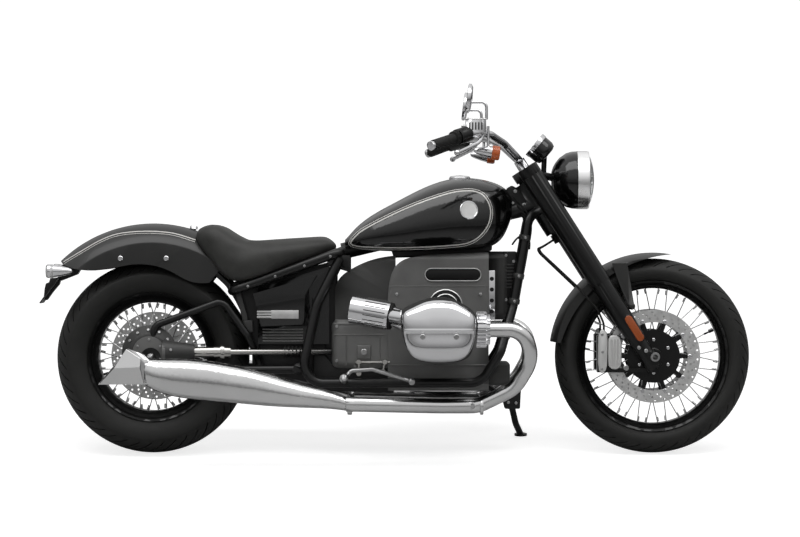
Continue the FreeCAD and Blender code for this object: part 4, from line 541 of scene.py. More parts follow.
paint_faces("engine_case", CASE_DARK, lambda p: p.x < CASE_REAR and p.z > AIRBOX_FLOOR)
paint_faces("engine_case", CASE_MID, lambda p: p.x < CASE_REAR and p.z <= AIRBOX_FLOOR)
paint_faces("yokes", CHROME,
            lambda p: (p - FRONT_AXLE * 1000).dot(FORK_UP) > RISER_FOOT and abs(p.y) < RISER_HALF)
paint_faces("controls", FORK_BLACK, in_housing)
paint_faces("dial", CHROME, lambda p: (p - DIAL_FACE).dot(DIAL_BACK) < DIAL_RING)
paint_faces("final_drive", CASE_GREY,
            lambda p: p.y < -100 and from_centre(p, FINAL_DRIVE) < FINAL_DRIVE_CAP)
paint_faces("drive_shaft", FORK_BLACK, lambda p: p.x > SHAFT_JOINT_X)
# The axle's bore is painted black: painted shade in the hole.
paint_faces("front_axle", FORK_BLACK, lambda p: from_centre(p, FRONT_AXLE * 1000) < BORE_SHADE_RADIUS)

# %% [markdown]
# Tyres. The real ones have smooth grey sidewalls with a rounded shoulder, and slanting grooves cut in
# the tread. The profile is spun round the axle and its rows are then turned a little further the
# nearer they are to the edge, which slants the columns of faces. On each side every fourth column is
# inset and sunk, so the grooves are real hollows.

# %% Tyres with tread
TYRE_COLUMNS = 176
GROOVE_SPACING = 4
GROOVE_SKEW = 0.30
TREAD_SHARES = (0.93, 0.82, 0.7, 0.56, 0.42, 0.28, 0.14, 0.04)


def tyre_profile(radius, width, drop, seat, rim_width):
    """A tyre's outline over the crown from one bead to the other, in millimetres."""
    half = width / 2
    bead = rim_width / 2 - 6.2
    shoulder = radius - drop
    flange = seat + 14.2
    crown = (half * half + drop * drop) / (2 * drop)
    wall = [(flange + (shoulder - flange) * up, bead + (half - bead) * out + 5.0)
            for up, out in ((0.3, 0.42), (0.62, 0.76))]
    tread = [(radius - crown + math.sqrt(crown * crown - y * y), y)
             for y in (half * share for share in TREAD_SHARES)]
    side = [(seat + 0.2, bead), (flange, bead), (flange + 3, bead + 3.0), *wall,
            (shoulder - 3, half + 1.0), (shoulder + 1.0, half - 0.6), *tread]
    return side + [(r, -y) for r, y in reversed(side)]


def skew(y, half):
    """How far a groove has run round the wheel at this distance from the tyre's middle."""
    return GROOVE_SKEW * (abs(y) / half) ** 1.4


def grooved_tyre(node, centre, sizes):
    """A tyre with slanting grooves, as one mesh that stands for the CAD node."""
    radius, width, drop = sizes[:3]
    half = width / 2000.0
    inner = (radius - drop + 2.0) / 1000.0
    tyre = turned_piece(node + "_with_tread", tyre_profile(*sizes), centre, (0, 1, 0), TYRE_COLUMNS)
    for corner in tyre.data.vertices:
        arm = corner.co - centre
        reach, angle = math.hypot(arm.x, arm.z), math.atan2(arm.z, arm.x) + skew(arm.y, half)
        corner.co = centre + Vector((reach * math.cos(angle), arm.y, reach * math.sin(angle)))

    def in_groove(middle, normal):
        arm = middle - centre
        if math.hypot(arm.x, arm.z) < inner or not half * 0.16 < abs(arm.y) < half * 0.95:
            return False
        angle = (math.atan2(arm.z, arm.x) - skew(arm.y, half)) % math.tau
        column = int(angle / math.tau * TYRE_COLUMNS + (GROOVE_SPACING // 2 if arm.y > 0 else 0))
        return column % GROOVE_SPACING == 0

    choose_faces(tyre, in_groove)
    bpy.ops.mesh.inset(thickness=0.0018, depth=0.0)
    bpy.ops.mesh.extrude_region_shrink_fatten(TRANSFORM_OT_shrink_fatten={"value": -0.0055})
    leave()
    settle(tyre, body_of_node[node], TYRE, slot_of_node[node], 40.0)
    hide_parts(node)
    print(node, len(tyre.data.polygons), "faces")


grooved_tyre("front_tyre", FRONT_AXLE, (330.0, 120.0, 36.0, 241.0, 102.0))
grooved_tyre("rear_tyre", REAR_AXLE, (326.5, 180.0, 46.0, 203.0, 142.0))

# %% [markdown]
# Pinstripes. On the real machine they are two painted lines, one broad and one fine. Each is laid out
# flat beside the machine as a thin ribbon, then pressed sideways onto the painted surface with the
# Shrinkwrap modifier, which leaves it half a millimetre proud.

# %% Stripes on the tank and fenders
TANK_LINE = [(-178, 714), (-149, 748), (-107, 774), (-21, 817), (65, 853), (151, 881), (193, 889),
             (236, 890), (270, 877), (292, 846), (298, 812), (288, 770), (257, 731), (215, 709),
             (151, 701), (65, 696), (-21, 694), (-107, 696), (-158, 700)]
FENDER_LINE = [(-1146, 646), (-1080, 685), (-1020, 719), (-959, 741), (-869, 749), (-779, 743),
               (-700, 720)]
BESIDE = 260
forms = {}


def smooth_line(points, cyclic, count):
    """Places at even steps along a smooth line through these side-view points, with its normals."""
    total = len(points)
    runs = total if cyclic else total - 1
    places, normals = [], []
    for step in range(count):
        t = step / (count if cyclic else count - 1) * runs
        index = min(int(t), runs - 1)
        f = t - index
        near = [points[(index + k) % total if cyclic else max(0, min(total - 1, index + k))]
                for k in (-1, 0, 1, 2)]
        places.append([0.5 * (2 * b + (c - a) * f + (2 * a - 5 * b + 4 * c - d) * f * f
                              + (3 * b - a - 3 * c + d) * f ** 3) for a, b, c, d in zip(*near)])
    for step in range(count):
        x, z = places[step - 1 if cyclic or step else 0]
        x2, z2 = places[(step + 1) % count if cyclic else min(step + 1, count - 1)]
        run = math.hypot(x2 - x, z2 - z) or 1.0
        normals.append((-(z2 - z) / run, (x2 - x) / run))
    return places, normals


def form_of(node):
    """A copy of a finished node, made once and stood upright, to press onto and to measure."""
    if node not in forms:
        form = released(copy_of(bpy.data.objects[node + "_finished"], node + "_upright_form"))
        form.matrix_world = Matrix.Identity(4)
        form.data.transform(TO_UPRIGHT)
        forms[node] = form
        bpy.context.view_layer.update()
    return forms[node]


def felt(node, x, z, side=-1):
    """The outermost place and its facing on a node, at this side-view point in millimetres."""
    hit, place, facing, _ = form_of(node).ray_cast(mm(x, side * 900, z), Vector((0, -side, 0)))
    if not hit:
        raise ValueError(f"nothing of {node} at {x}, {z}")
    return place, facing


def stripe(name, node, points, offset, width, side, cyclic, count):
    """A painted line pressed sideways onto a node's surface."""
    places, normals = smooth_line(points, cyclic, count)
    bpy.ops.mesh.primitive_grid_add(x_subdivisions=count if cyclic else count - 1, y_subdivisions=2,
                                    size=0.1)
    ribbon = bpy.context.object
    ribbon.name = name
    columns = len(ribbon.data.vertices) // 3
    for index, corner in enumerate(ribbon.data.vertices):
        row, column = divmod(index, columns)
        (x, z), (nx, nz) = places[column % count], normals[column % count]
        out = offset + width * (row / 2 - 0.5)
        corner.co = mm(x + nx * out, side * BESIDE, z + nz * out)
    outward(ribbon)
    modify(ribbon, "SHRINKWRAP", target=form_of(node), wrap_method="PROJECT", use_project_x=False,
           use_project_y=True, use_project_z=False, use_negative_direction=side > 0,
           use_positive_direction=side < 0, wrap_mode="ABOVE_SURFACE", offset=0.0005)
    settle(ribbon, body_of_node[node], STRIPE, slot_of_node[node], 60.0)


for side, word in zip(SIDES, ("right", "left")):
    for line, (offset, width) in {"broad": (2.8, 4.2), "fine": (-4.0, 2.0)}.items():
        stripe(f"tank_stripe_{line}_{word}", "tank", TANK_LINE, -offset, width, side, True, 120)
        stripe(f"fender_stripe_{line}_{word}", "rear_fender", FENDER_LINE, offset, width * 0.8, side,
               False, 60)
print("stripes laid")

# %% [markdown]
# Saddle. It is one stuffed piece with a pulled skin. A copy of the CAD solid is remeshed evenly, and a
# short cloth run with pressure rounds it out; every point is kept within 9 millimetres of where it was.

# %% The stuffed saddle
SADDLE_SWELL = 0.009
CLOTH_FRAMES = 12
saddle = released(outward(copy_of(nodes["seat"], "saddle")))
modify(saddle, "REMESH", mode="VOXEL", voxel_size=0.0065)
modify(saddle, "SMOOTH", factor=0.6, iterations=6)
rest = [corner.co.copy() for corner in saddle.data.vertices]
pick(saddle)
cloth = saddle.modifiers.new("Stuffing", "CLOTH")
cloth.settings.use_pressure = True
cloth.settings.uniform_pressure_force = 3.0
cloth.settings.effector_weights.gravity = 0.0
for step in range(1, CLOTH_FRAMES + 1):
    bpy.context.scene.frame_set(step)
bpy.ops.object.modifier_apply(modifier=cloth.name)
for corner, start in zip(saddle.data.vertices, rest):
    move = corner.co - start
    if move.length > SADDLE_SWELL:
        corner.co = start + move.normalized() * SADDLE_SWELL
bpy.context.scene.frame_set(1)
modify(saddle, "SMOOTH", factor=0.5, iterations=4)
settle(saddle, "frame", LEATHER, slot_of_node["seat"], 60.0, upright=False)
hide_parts("seat")
print("saddle", len(saddle.data.polygons), "faces")

# %% [markdown]
# Valve covers. Each is a bright casting: a dished upper dome above a thin level ridge, and a lower face
# that falls in under it. A flat outline is extruded and narrowed in steps, then subdivided, remeshed
# evenly and smoothed. Last, its outer face is shaped by height: rounded off above and below, with the
# ridge at the crank's height.

# %% Valve covers
COVER = [(-0.488, 0.28), (-0.5, 0.12), (-0.492, -0.06), (-0.455, -0.24), (-0.385, -0.4), (-0.24, -0.5),
         (0.0, -0.512), (0.25, -0.5), (0.385, -0.42), (0.455, -0.26), (0.49, -0.06), (0.5, 0.1),
         (0.478, 0.25), (0.4, 0.33), (0.29, 0.41), (0.2, 0.468), (0.0, 0.49), (-0.17, 0.468),
         (-0.29, 0.4), (-0.41, 0.335)]
COVER_LENGTH = 247
COVER_HEIGHT = 207
COVER_ROOT = -392.3
COVER_FACE = (0.398, 0.436)
COVER_STEPS = ((0.004, 1.0), (0.014, 1.0), (0.012, 0.985), (0.012, 0.94), (0.008, 0.84), (0.003, 0.7),
               (0.0007, 0.4))
CRANK_X = 118
CRANK_Z = 427


def soft_step(value, low, high):
    """Rises smoothly from 0 at low to 1 at high."""
    share = max(0.0, min(1.0, (value - low) / (high - low)))
    return share * share * (3 - 2 * share)


def valve_cover(name, crank_x):
    """One bright cover, drawn for the right side."""
    outline = [mm(crank_x + COVER_LENGTH * x, COVER_ROOT, CRANK_Z + COVER_HEIGHT * z) for x, z in COVER]
    cover = grown(ring_of(name, outline, True), mm(crank_x, 0, CRANK_Z), (0, -1, 0), COVER_STEPS)
    modify(cover, "SUBSURF", levels=2, render_levels=2)
    modify(cover, "REMESH", mode="VOXEL", voxel_size=0.003)
    modify(cover, "SMOOTH", factor=0.5, iterations=8)
    for corner in cover.data.vertices:
        out = soft_step(-corner.co.y, *COVER_FACE)
        rise = corner.co.z * 1000 - CRANK_Z
        round_off = max(0.0, rise - 6) ** 2 * 0.0016 + max(0.0, -rise - 52) ** 2 * 0.0045
        ridge = 1.8 * math.exp(-(rise / 3.0) ** 2)
        panel = 2.6 * soft_step(-rise, 2, 9) * (1 - soft_step(-rise, 9, 60))
        corner.co.y += out * (round_off + panel - ridge) / 1000
    return cover


right_cover = valve_cover("valve_cover_right", CRANK_X)
left_cover = mirrored(valve_cover("valve_cover_left", CRANK_X + CYLINDER_SHIFTS[1][1]))
for cover in (right_cover, left_cover):
    settle(cover, "frame", CHROME, slot_of_node["valve_covers"], 50.0)
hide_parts("valve_covers")

# %% [markdown]
# Screws are everywhere on an engine. A socket-head screw has a head raised in the middle and a sunk
# socket. It is made anew at each place, turned to face outwards.


# %% Screws
def screw(place, way, radius, height):
    """A screw head with a sloping rim and a sunk socket, facing along its way."""
    bpy.ops.mesh.primitive_cylinder_add(vertices=18, radius=radius / 1000.0, depth=height / 1000.0,
                                        location=(0, 0, height / 2000.0))
    head = bpy.context.object
    head.data.transform(head.matrix_world)
    head.matrix_world = Matrix.Identity(4)
    choose_faces(head, lambda middle, normal: normal.z > 0.9)
    for inwards, rise in ((0.16 * radius, 0.12 * radius), (0.34 * radius, 0), (0.02 * radius, -height / 2)):
        bpy.ops.mesh.inset(thickness=inwards / 1000.0, depth=rise / 1000.0)
    leave()
    turned = Vector(way).normalized().to_track_quat("Z", "Y").to_matrix().to_4x4()
    head.data.transform(Matrix.Translation(place) @ turned)
    return head


def screws(name, spots, body, material=BOLT_STEEL):
    """Screws at (place, way, radius, height), as one piece."""
    settle_all(name, [screw(*spot) for spot in spots], body, material, None, 30.0)


def spots_at(y, points, height):
    """Where screws sit on both sides at a distance from the middle, for (x, z, radius)."""
    return [(mm(x, side * y, z), (0, side, 0), radius, height) for side in SIDES for x, z, radius in points]


def spots_on(node, points, radius, height, sides=SIDES):
    """Where screws sit on a node's sides, for these side-view points."""
    return [(*felt(node, x, z, side), radius, height) for side in sides for x, z in points]


spots = [(mm(x + shift, side * 442.5, 407), (0, side, 0), 9.0, 6.0)
         for side, shift in CYLINDER_SHIFTS for x in (65, 175)]
screws("valve_cover_screws", spots, "frame")

# %% [markdown]
# The indicators' lenses are caps with a shallow front, let into the open ends of the bright shells:
# amber in front and clear at the rear.


# %% Lenses on the indicators
def lens_cap(place, way, radius, length):
    """A cap over the lamp's open end, with straight sides and a shallow front."""
    profile = [(0, 0), (radius - 1.5, 0), (radius, 1.5), (radius, length * 0.3), (radius, length * 0.78),
               (radius * 0.94, length * 0.9), (radius * 0.8, length * 0.97), (0, length)]
    return turned_piece("cap", profile, place, way, 36)


ahead = round_way(-7.4)
settle_all("front_indicator_lenses",
           [lens_cap(FRONT_AXLE + mm(-611, side * 265, 691) + ahead * 0.060, ahead, 23.9, 28)
            for side in SIDES], "steering", AMBER, "lamp_glass")
settle_all("rear_indicator_lenses",
           [lens_cap(REAR_AXLE + mm(-328.5, side * 116, 291), (-1, 0, 0), 22.9, 25) for side in SIDES],
           "frame", CLEAR, "lamp_glass")
print("lenses placed")

# %% [markdown]
# The mirrors' glass is a thin disc let into the rear of each shell.

# %% Mirror glass
settle_all("mirror_glasses",
           [turned_piece("glass", [(0, -1), (45, -1), (45, 1.0), (43.5, 1.6), (0, 1.6)],
                         FRONT_AXLE + mm(-634, side * 335, 860), -round_way(-7.0), 48)
            for side in SIDES], "steering", MIRROR, "chrome")

# %% [markdown]
# Wheel details: a nipple where each spoke meets its rim, bright rivets where the discs float on their
# black spiders, bolts round the hub, and a valve stem.

# %% Wheel details
FRONT_RIM = 223
REAR_RIM = 178
STEM = [(0, 0), (3.4, 0), (3.4, 11), (2.4, 12), (2.4, 16), (4.2, 18), (4.2, 34), (0, 34)]
FRONT_CENTRE = FRONT_AXLE * 1000


def nipples(name, centre, body, rim_radius, rim_width, hub_radius, hub_half):
    """A small sleeve at the rim end of each of the forty spokes, in line with its spoke."""
    sleeves = []
    for side in SIDES:
        for count in range(20):
            crossing = 1 if count % 2 else -1
            turn = 18.0 * (count // 2 * 2 + 0.5 + crossing * 0.18 + (1 if side > 0 else 0))
            rim_end = round_way(turn) * rim_radius
            rim_end.y = side * rim_width * 0.15 + crossing * 0.8
            hub_end = round_way(turn + crossing * 42.0) * hub_radius
            hub_end.y = side * hub_half + crossing * 1.6
            way = (rim_end - hub_end).normalized()
            sleeves.append(turned_piece("sleeve", [(0, 0), (2.4, 0), (3.4, 3), (3.4, 16), (0, 16)],
                                        centre + (rim_end - way * 13) / 1000, way, 10))
    settle_all(name, sleeves, body, SPOKE_STEEL, None, 40.0)


nipples("front_nipples", FRONT_AXLE, "front_wheel", FRONT_RIM, 102, 36.5, 42.5)
nipples("rear_nipples", REAR_AXLE, "rear_wheel", REAR_RIM, 142, 48.5, 54.5)
spots = spots_at(80.4, [(*on_circle(FRONT_CENTRE, 122, 36 * count), 7.0) for count in range(10)], 2.6)
spots += spots_on("front_carriers", [on_circle(FRONT_CENTRE, 56, 60 * count + 30) for count in range(6)],
                  5.5, 3.4)
screws("front_disc_bolts", spots, "front_wheel", CHROME)
for end, centre, rim_radius, degrees in (("front", FRONT_AXLE, FRONT_RIM, 22.3),
                                         ("rear", REAR_AXLE, REAR_RIM, 200.0)):
    out = round_way(degrees)
    stem = turned_piece(end + "_valve_stem", STEM, centre + out * (rim_radius - 31) / 1000, out, 14)
    settle(stem, end + "_wheel", RUBBER)
print("wheel details done")

# %% [markdown]
# Fork details. The reflector is a long rounded amber slab on each slider's outer side, drawn in the
# fork's own slanting directions. Below it are the axle's ring and the pinch bolts.


# %% Fork details
def slanted(up, ahead):
    """A side-view point by the fork's leg, given up along it and ahead of it."""
    place = FRONT_CENTRE + FORK_UP * up + FORK_AHEAD * (ahead - LEG_BEHIND_AXLE)
    return place.x, place.z


def slanted_slabs(low, high, back, front, *across):
    """Slabs with rounded ends that follow the slant of the fork."""
    outline = stadium((low + high) / 2, (back + front) / 2, (high - low) / 2, (front - back) / 2, 8)
    return sheet_pair("slab", [slanted(up, ahead) for up, ahead in outline], *across)


settle_all("fork_reflectors", slanted_slabs(70, 168, -1, 25, 140, 158, 3.0), "steering", REFLECTOR,
           "lamp_glass")
settle_all("reflector_holders", slanted_slabs(66, 172, -4, 28, 132, 152, 2.0), "steering", FORK_BLACK)
settle_all("axle_rings",
           turned_pair("ring", [(9.2, 0), (16, 0), (16, 3), (14.5, 5), (10.5, 5), (9.2, 3.5)],
                       FRONT_CENTRE.x, 147.4, FRONT_CENTRE.z, 36), "steering", BOLT_STEEL)
screws("fork_pinch_bolts", spots_on("fork_sliders", [slanted(34, 4), slanted(56, -9)], 6.5, 4.0), "steering")

# %% [markdown]
# Calipers. The dark CAD blocks become the bridges; a silver body with three ribs and a slimmer rear
# edge sits on the outer face of each, with bolts. The bodies are bare, with no lettering.

# %% Caliper bodies
MAIN = [(700, 402), (719, 404), (731, 396), (737, 380), (737, 308), (731, 294), (718, 287), (701, 289),
        (692, 300), (690, 340), (692, 390)]
EDGE = [(664, 418), (676, 422), (688, 410), (690, 380), (688, 300), (682, 281), (671, 274), (660, 282),
        (656, 310), (657, 396)]
pieces = sheet_pair("main", MAIN, 98, 117, 4.0) + sheet_pair("edge", EDGE, 102, 116, 3.5)
for x in (703, 713, 723):
    pieces += bar_pair("rib", (x, 302, x, 388), 116.5, 2.4)
settle_all("caliper_bodies", pieces, "steering", SILVER, None, 40.0)
spots = spots_at(117, [(671, 405, 4.6), (670, 288, 4.6), (672, 346, 4.6)], 4.0)
spots += spots_at(112, [(742, 400, 9.0), (752, 292, 9.0)], 6.0)
screws("caliper_bolts", spots, "steering")

# %% [markdown]
# Engine details: blank plates where the real engine has lettering, the seam between its cases, the
# pierced strip beside the belt, whose holes are black discs of painted shade, ribs and a boss on the
# gearbox, and screws.

# %% Plates, seam and ribs on the engine
OVAL = stadium(169, 606, 94, 21)
plates = sheet_pair("plate", OVAL, 116, 120.4, 0.8)
plates += turned_pair("plate", [(0, -3), (57, -3), (57, 2.0), (55.5, 2.8), (0, 2.8)], 144, 118, 499, 56)
edges = [rod("edge", [mm(x, side * 120.4, z) for x, z in OVAL], 1.9, cyclic=True, smooth=False)
         for side in SIDES]
for radius in (56.0, 41.0):
    profile = [(radius - 2, 0), (radius + 2, 0), (radius + 2, 4.0), (radius, 5.2), (radius - 2, 4.0)]
    edges += turned_pair("edge", profile, 144, 118, 499, 56)
seams = sheet_pair("seam", rectangle(-46, 565.4, 286, 568.6), 117, 119.2, 0.7)
seams += sheet_pair("seam", rectangle(-46, 300, 286, 304), 117, 120.5, 1.0)
settle_all("blank_plates", plates, "frame", FORK_BLACK)
settle_all("blank_plate_edges", edges, "frame", STEEL)
settle_all("case_seams", seams, "frame", CASE_MID)

ribs = sheet_pair("boss", rectangle(-154, 322, -107, 369), 108, 117, 4.0)
for line in ((-232, 404, -62, 404), (-190, 300, -190, 402), (-76, 300, -76, 402), (-232, 440, -62, 440)):
    ribs += bar_pair("rib", line, 109.5, 2.6)
for z in (382, 392, 402, 412, 422):
    ribs += bar_pair("rib", (-472, z, -336, z), 97.5, 2.8)
settle_all("gearbox_ribs", ribs, "frame", CASE_MID)
links = []
for line in ((-158, 312, -44, 312), (-148, 312, -148, 274), (-60, 312, -66, 282)):
    links += bar_pair("link", line, 118, 4.0)
for x, z, radius in ((-148, 312, 8), (-60, 312, 8), (-148, 274, 9), (-66, 282, 7)):
    profile = [(0, -7), (radius, -7), (radius + 1, -5), (radius + 1, 5), (radius, 7), (0, 7)]
    links += turned_pair("eye", profile, x, 118, z, 24)
settle_all("foot_links", links, "frame", NICKEL)
spots = spots_at(117, [(-130.5, 345.5, 11.0)], 7.0)
spots += spots_on("engine_case", [(-222, 316), (-222, 432), (-90, 432), (-60, 316), (-160, 300), (-30, 240),
                                  (60, 232), (160, 232), (262, 262), (262, 540), (-20, 540)], 5.0, 4.0)
screws("engine_screws", spots, "frame")
settle_all("belt_side_strips", sheet_pair("strip", rectangle(288, 455, 311, 620), 98, 106, 1.6), "frame",
           CHROME)
# The strip's holes are black discs: painted shade in the holes.
hole_shades = []
for z in (592, 556, 519, 482):
    hole_shades += turned_pair("hole", [(0, 0), (7.2, 0), (7.2, 1.0), (5.6, 1.8), (0, 0.6)], 300, 105.8, z, 24)
settle_all("belt_side_hole_shades", hole_shades, "frame", FORK_BLACK)

# %% [markdown]
# Exhaust and intake details. A toothed nut holds each header to its head, clamps close the joints
# further back, and a bent sleeve and a dark ring join the intake's grooved tube to the cylinder. The
# tube's grooves are dark rods along it, as painted shade in the grooves.

# %% Nuts, clamps and intake sleeves
TEETH = 22
PIPE_Y = 262
PIPE_Z = 172


def toothed_nut(x, side):
    """The finned nut of a header, its teeth running fore and aft."""
    centre = mm(x, side * 325, CRANK_Z)
    points = []
    for tooth in range(TEETH):
        for share, radius in ((0.0, 50.0), (0.18, 58.0), (0.52, 58.0), (0.70, 50.0)):
            angle = math.tau * (tooth + share) / TEETH
            points.append(centre + mm(0, radius * math.cos(angle), radius * math.sin(angle)))
    return grown(ring_of("nut", points, True), centre, (1, 0, 0),
                 ((0.004, 1.02), (0.026, 1.0), (0.004, 0.97), (0.001, 0.86), (0.010, 1.0)))


settle_all("header_nuts", [toothed_nut(243 + shift, side) for side, shift in CYLINDER_SHIFTS], "frame",
           CHROME, None, 30.0)
bands = turned_pair("boss", [(0, 0), (10, 0), (10, 8), (8, 10), (0, 10)], 232, 284, PIPE_Z, 28)
for x, half in ((262, 5.5), (-176, 8)):
    profile = [(26, -half), (29, 0.8 - half), (29.6, 0), (29, half - 0.8), (26, half), (24, 0)]
    bands += [turned_piece("band", profile, mm(x, side * PIPE_Y, PIPE_Z), (1, 0, 0), 40) for side in SIDES]
settle_all("exhaust_clamps", bands, "frame", PIPE_CHROME)

sleeves, rings, groove_shades = [], [], []
for side, shift in CYLINDER_SHIFTS:
    tail = mm(-168 + shift, side * 238, CRANK_Z + 65)
    head = mm(-41.5 + shift, side * 262, CRANK_Z + 43)
    way = (head - tail).normalized()
    bend = [head + way * along + mm(0, 0, -fall)
            for along, fall in ((-0.006, 0), (0.016, 0), (0.034, 3), (0.062, 14))]
    sleeves.append(rod("sleeve", bend, 34.0, sides=10))
    rings.append(turned_piece("ring", [(30, -2), (45, -2), (45, 1), (42, 2), (45, 3), (45, 6), (40, 9),
                                       (30, 10)], head, way, 48))
    across = way.cross(Vector((0, 0, 1))).normalized()
    over = across.cross(way).normalized()
    outwards = across if across.y * side > 0 else -across
    for degrees in range(-150, 151, 20):
        turn = math.radians(degrees)
        out = (outwards * math.cos(turn) + over * math.sin(turn)) * 0.0466
        groove_shades.append(rod("groove", [tail + way * 0.046 + out, head - way * 0.012 + out], 1.9, smooth=False))
settle_all("intake_sleeves", sleeves, "frame", CHROME, None, 50.0)
settle_all("intake_rings", rings, "frame", RUBBER)
# Dark rods along the intake tube stand for its grooves: painted shade in them.
settle_all("intake_groove_shades", groove_shades, "frame", CASE_DARK)
print("engine details done")

# %% [markdown]
# The tails of the silencers are folded: an upper and a lower flat meet at a crease. Each is a small grid
# whose middle row stands proud, given a wall with the Solidify modifier.

# %% Folded tails
TAIL_ROWS = (((-914, 362), (-866, 331)), ((-953, 300), (-868, 303)), ((-1002, 247), (-856, 247)))
TAIL_LIFTS = (312, 324, 312)
folds = []
for side in SIDES:
    bpy.ops.mesh.primitive_grid_add(x_subdivisions=1, y_subdivisions=2, size=0.1)
    fold = bpy.context.object
    for index, corner in enumerate(fold.data.vertices):
        x, z = TAIL_ROWS[index // 2][index % 2]
        corner.co = mm(x, side * TAIL_LIFTS[index // 2], z)
    modify(fold, "SOLIDIFY", thickness=0.006, offset=0.0)
    outward(fold)
    modify(fold, "BEVEL", width=0.0012, segments=2, limit_method="ANGLE", angle_limit=math.radians(40))
    folds.append(fold)
settle_all("folded_tails", folds, "frame", PIPE_CHROME, None, 12.0)

# %% [markdown]
# Between the tank, the engine and the frame the real machine is full of black parts that hold wires and
# hoses. Plain black housings stand in for them, so no daylight shows where there is none. Each is an
# outline, half a width and the rounding of its edges. The number plate's holder is made the same way.

# %% Black housings
FILLS = {
    "under_tank_tray": ([(-40, 690), (-30, 662), (262, 670), (302, 688), (302, 722), (-40, 706)], 72, 6),
    "front_regulator": ([(338, 500), (364, 500), (380, 560), (392, 640), (386, 684), (338, 684)], 34, 5),
    "neck_gusset": ([(352, 898), (370, 908), (394, 896), (422, 852), (440, 804), (436, 766), (424, 742),
                     (412, 748), (408, 798), (392, 814), (366, 826), (356, 856)], 22, 5),
    "gearbox_back": ([(-262, 300), (-222, 300), (-222, 640), (-262, 622)], 78, 5),
    "sump_plate": ([(-302, 214), (-30, 206), (-30, 300), (-234, 300), (-262, 338), (-302, 338)], 88, 5),
    "rear_guard": ([(-598, 574), (-484, 604), (-484, 290), (-508, 290), (-509, 382), (-521, 420),
                    (-539, 465), (-564, 515)], 84, 4),
    "battery_tray": ([(-500, 380), (-236, 380), (-236, 292), (-302, 238), (-420, 262), (-500, 300)], 70, 4),
    "panel_back": ([(-492, 552), (-250, 622), (-250, 648), (-492, 580)], 74, 3),
    "lower_bracket": ([(332, 212), (402, 232), (398, 150), (346, 150)], 34, 4),
    "plate_holder": ([(-1160, 596), (-1197, 593), (-1201, 579), (-1212, 575), (-1216, 558), (-1220, 520),
                      (-1208, 518), (-1188, 546), (-1166, 572)], 17, 2),
}
for name, (outline, half, bevel) in FILLS.items():
    settle(sheet_piece(name, outline, -half, half, bevel), "frame", PLASTIC)
spots = spots_at(22, [(382, 888, 6), (374, 848, 4.5), (412, 842, 6), (420, 770, 5), (430, 794, 4.5)], 3.5)
spots += spots_at(34, [(350, 670, 5), (350, 520, 5), (376, 650, 5), (384, 170, 5), (358, 172, 5)], 3.5)
screws("housing_screws", spots, "frame")
fins = [sheet_piece("fin", rectangle(344, z, 378, z + 4), -38, 38, 1) for z in range(560, 640, 11)]
settle_all("regulator_fins", fins, "frame", CASE_DARK)
CABLES = (
    (31, 4.0, ((388, 842), (412, 812), (430, 770), (426, 712), (416, 650), (404, 590), (392, 520))),
    (26, 3.0, ((374, 868), (412, 832), (436, 792), (436, 742), (420, 690), (396, 640), (384, 612))),
    (30, 2.4, ((372, 706), (388, 732), (416, 740), (434, 722), (430, 690))),
)
cables = [rod("cable", [mm(x, side * y, z) for x, z in places], radius, sides=2)
          for side in SIDES for y, radius, places in CABLES]
settle_all("neck_cables", cables, "frame", RUBBER, None, 60.0)
straps = sheet_pair("strap", [(-566, 548), (-548, 552), (-524, 470), (-517, 404), (-534, 402), (-543, 466)],
                    88, 100, 3)
straps += sheet_pair("buckle", [(-536, 452), (-506, 452), (-504, 412), (-533, 408)], 92, 104, 3)
settle_all("rear_straps", straps, "frame", CASE_DARK)

# %% [markdown]
# Dark clamps with small bolts hold wires to the frame's front tubes, and bolts show along the rails
# under the saddle.

# %% Clamps and bolts on the frame
CLAMP_LINES = ((417, 742, 413, 719), (394, 612, 390, 589), (379, 527, 375, 504), (345, 410, 341, 394))
TUBE_RADIUS = 0.0145
CLAMP_PROFILE = [(13, -9), (18, -9), (19.2, -7), (19.2, 7), (18, 9), (13, 9)]
clamps, spots = [], []
for side in SIDES:
    for x, z, x2, z2 in CLAMP_LINES:
        high, low = abs(felt("frame", x, z, side)[0].y), abs(felt("frame", x2, z2, side)[0].y)
        middle = Vector(((x + x2) / 2000, side * ((low + high) / 2 - TUBE_RADIUS), (z + z2) / 2000))
        clamps.append(turned_piece("clamp", CLAMP_PROFILE, middle, mm(x - x2, 0, z - z2), 28))
        spots.append((middle + Vector((0, side * 0.0185, 0)), (0, side, 0), 4.6, 3.4))
settle_all("frame_clamps", clamps, "frame", CASE_DARK)
spots += spots_on("frame", [(-243, 668), (-330, 636), (-428, 601), (-520, 568)], 4.4, 3.0)
screws("frame_screws", spots, "frame")

# %% [markdown]
# The drive line: a ribbed rubber boot closes the shaft's front joint, and screws hold the round cover
# of the final drive.

# %% Drive line
boot = [(9.6, 0)]
for fold in range(6):
    outer, inner, start = 20.5 - fold * 0.7, 15.5 - fold * 0.5, fold * 13
    boot += [(outer, start + 3), (outer, start + 7), (inner, start + 11)]
boot.append((9.6, 82))
settle(turned_piece("shaft_boot", boot, mm(-402, -96, REAR_AXLE.z * 1000 + 19), (1, 0, 0), 40), "frame",
       RUBBER)
spots = spots_on("final_drive", [on_circle(FINAL_DRIVE, 76, 8 + count * 28) for count in range(9)], 4.6, 3.6,
                 (-1,))
spots += spots_on("final_drive", [on_circle(FINAL_DRIVE, 44, 30 + count * 60) for count in range(6)], 3.6,
                  3.0, (-1,))
screws("final_drive_screws", spots, "frame")

# %% [markdown]
# Body details: a bare round disc on each side of the tank, a plain strip on each side panel, screws in
# the rear fender's holes, and the knob that holds the seat.

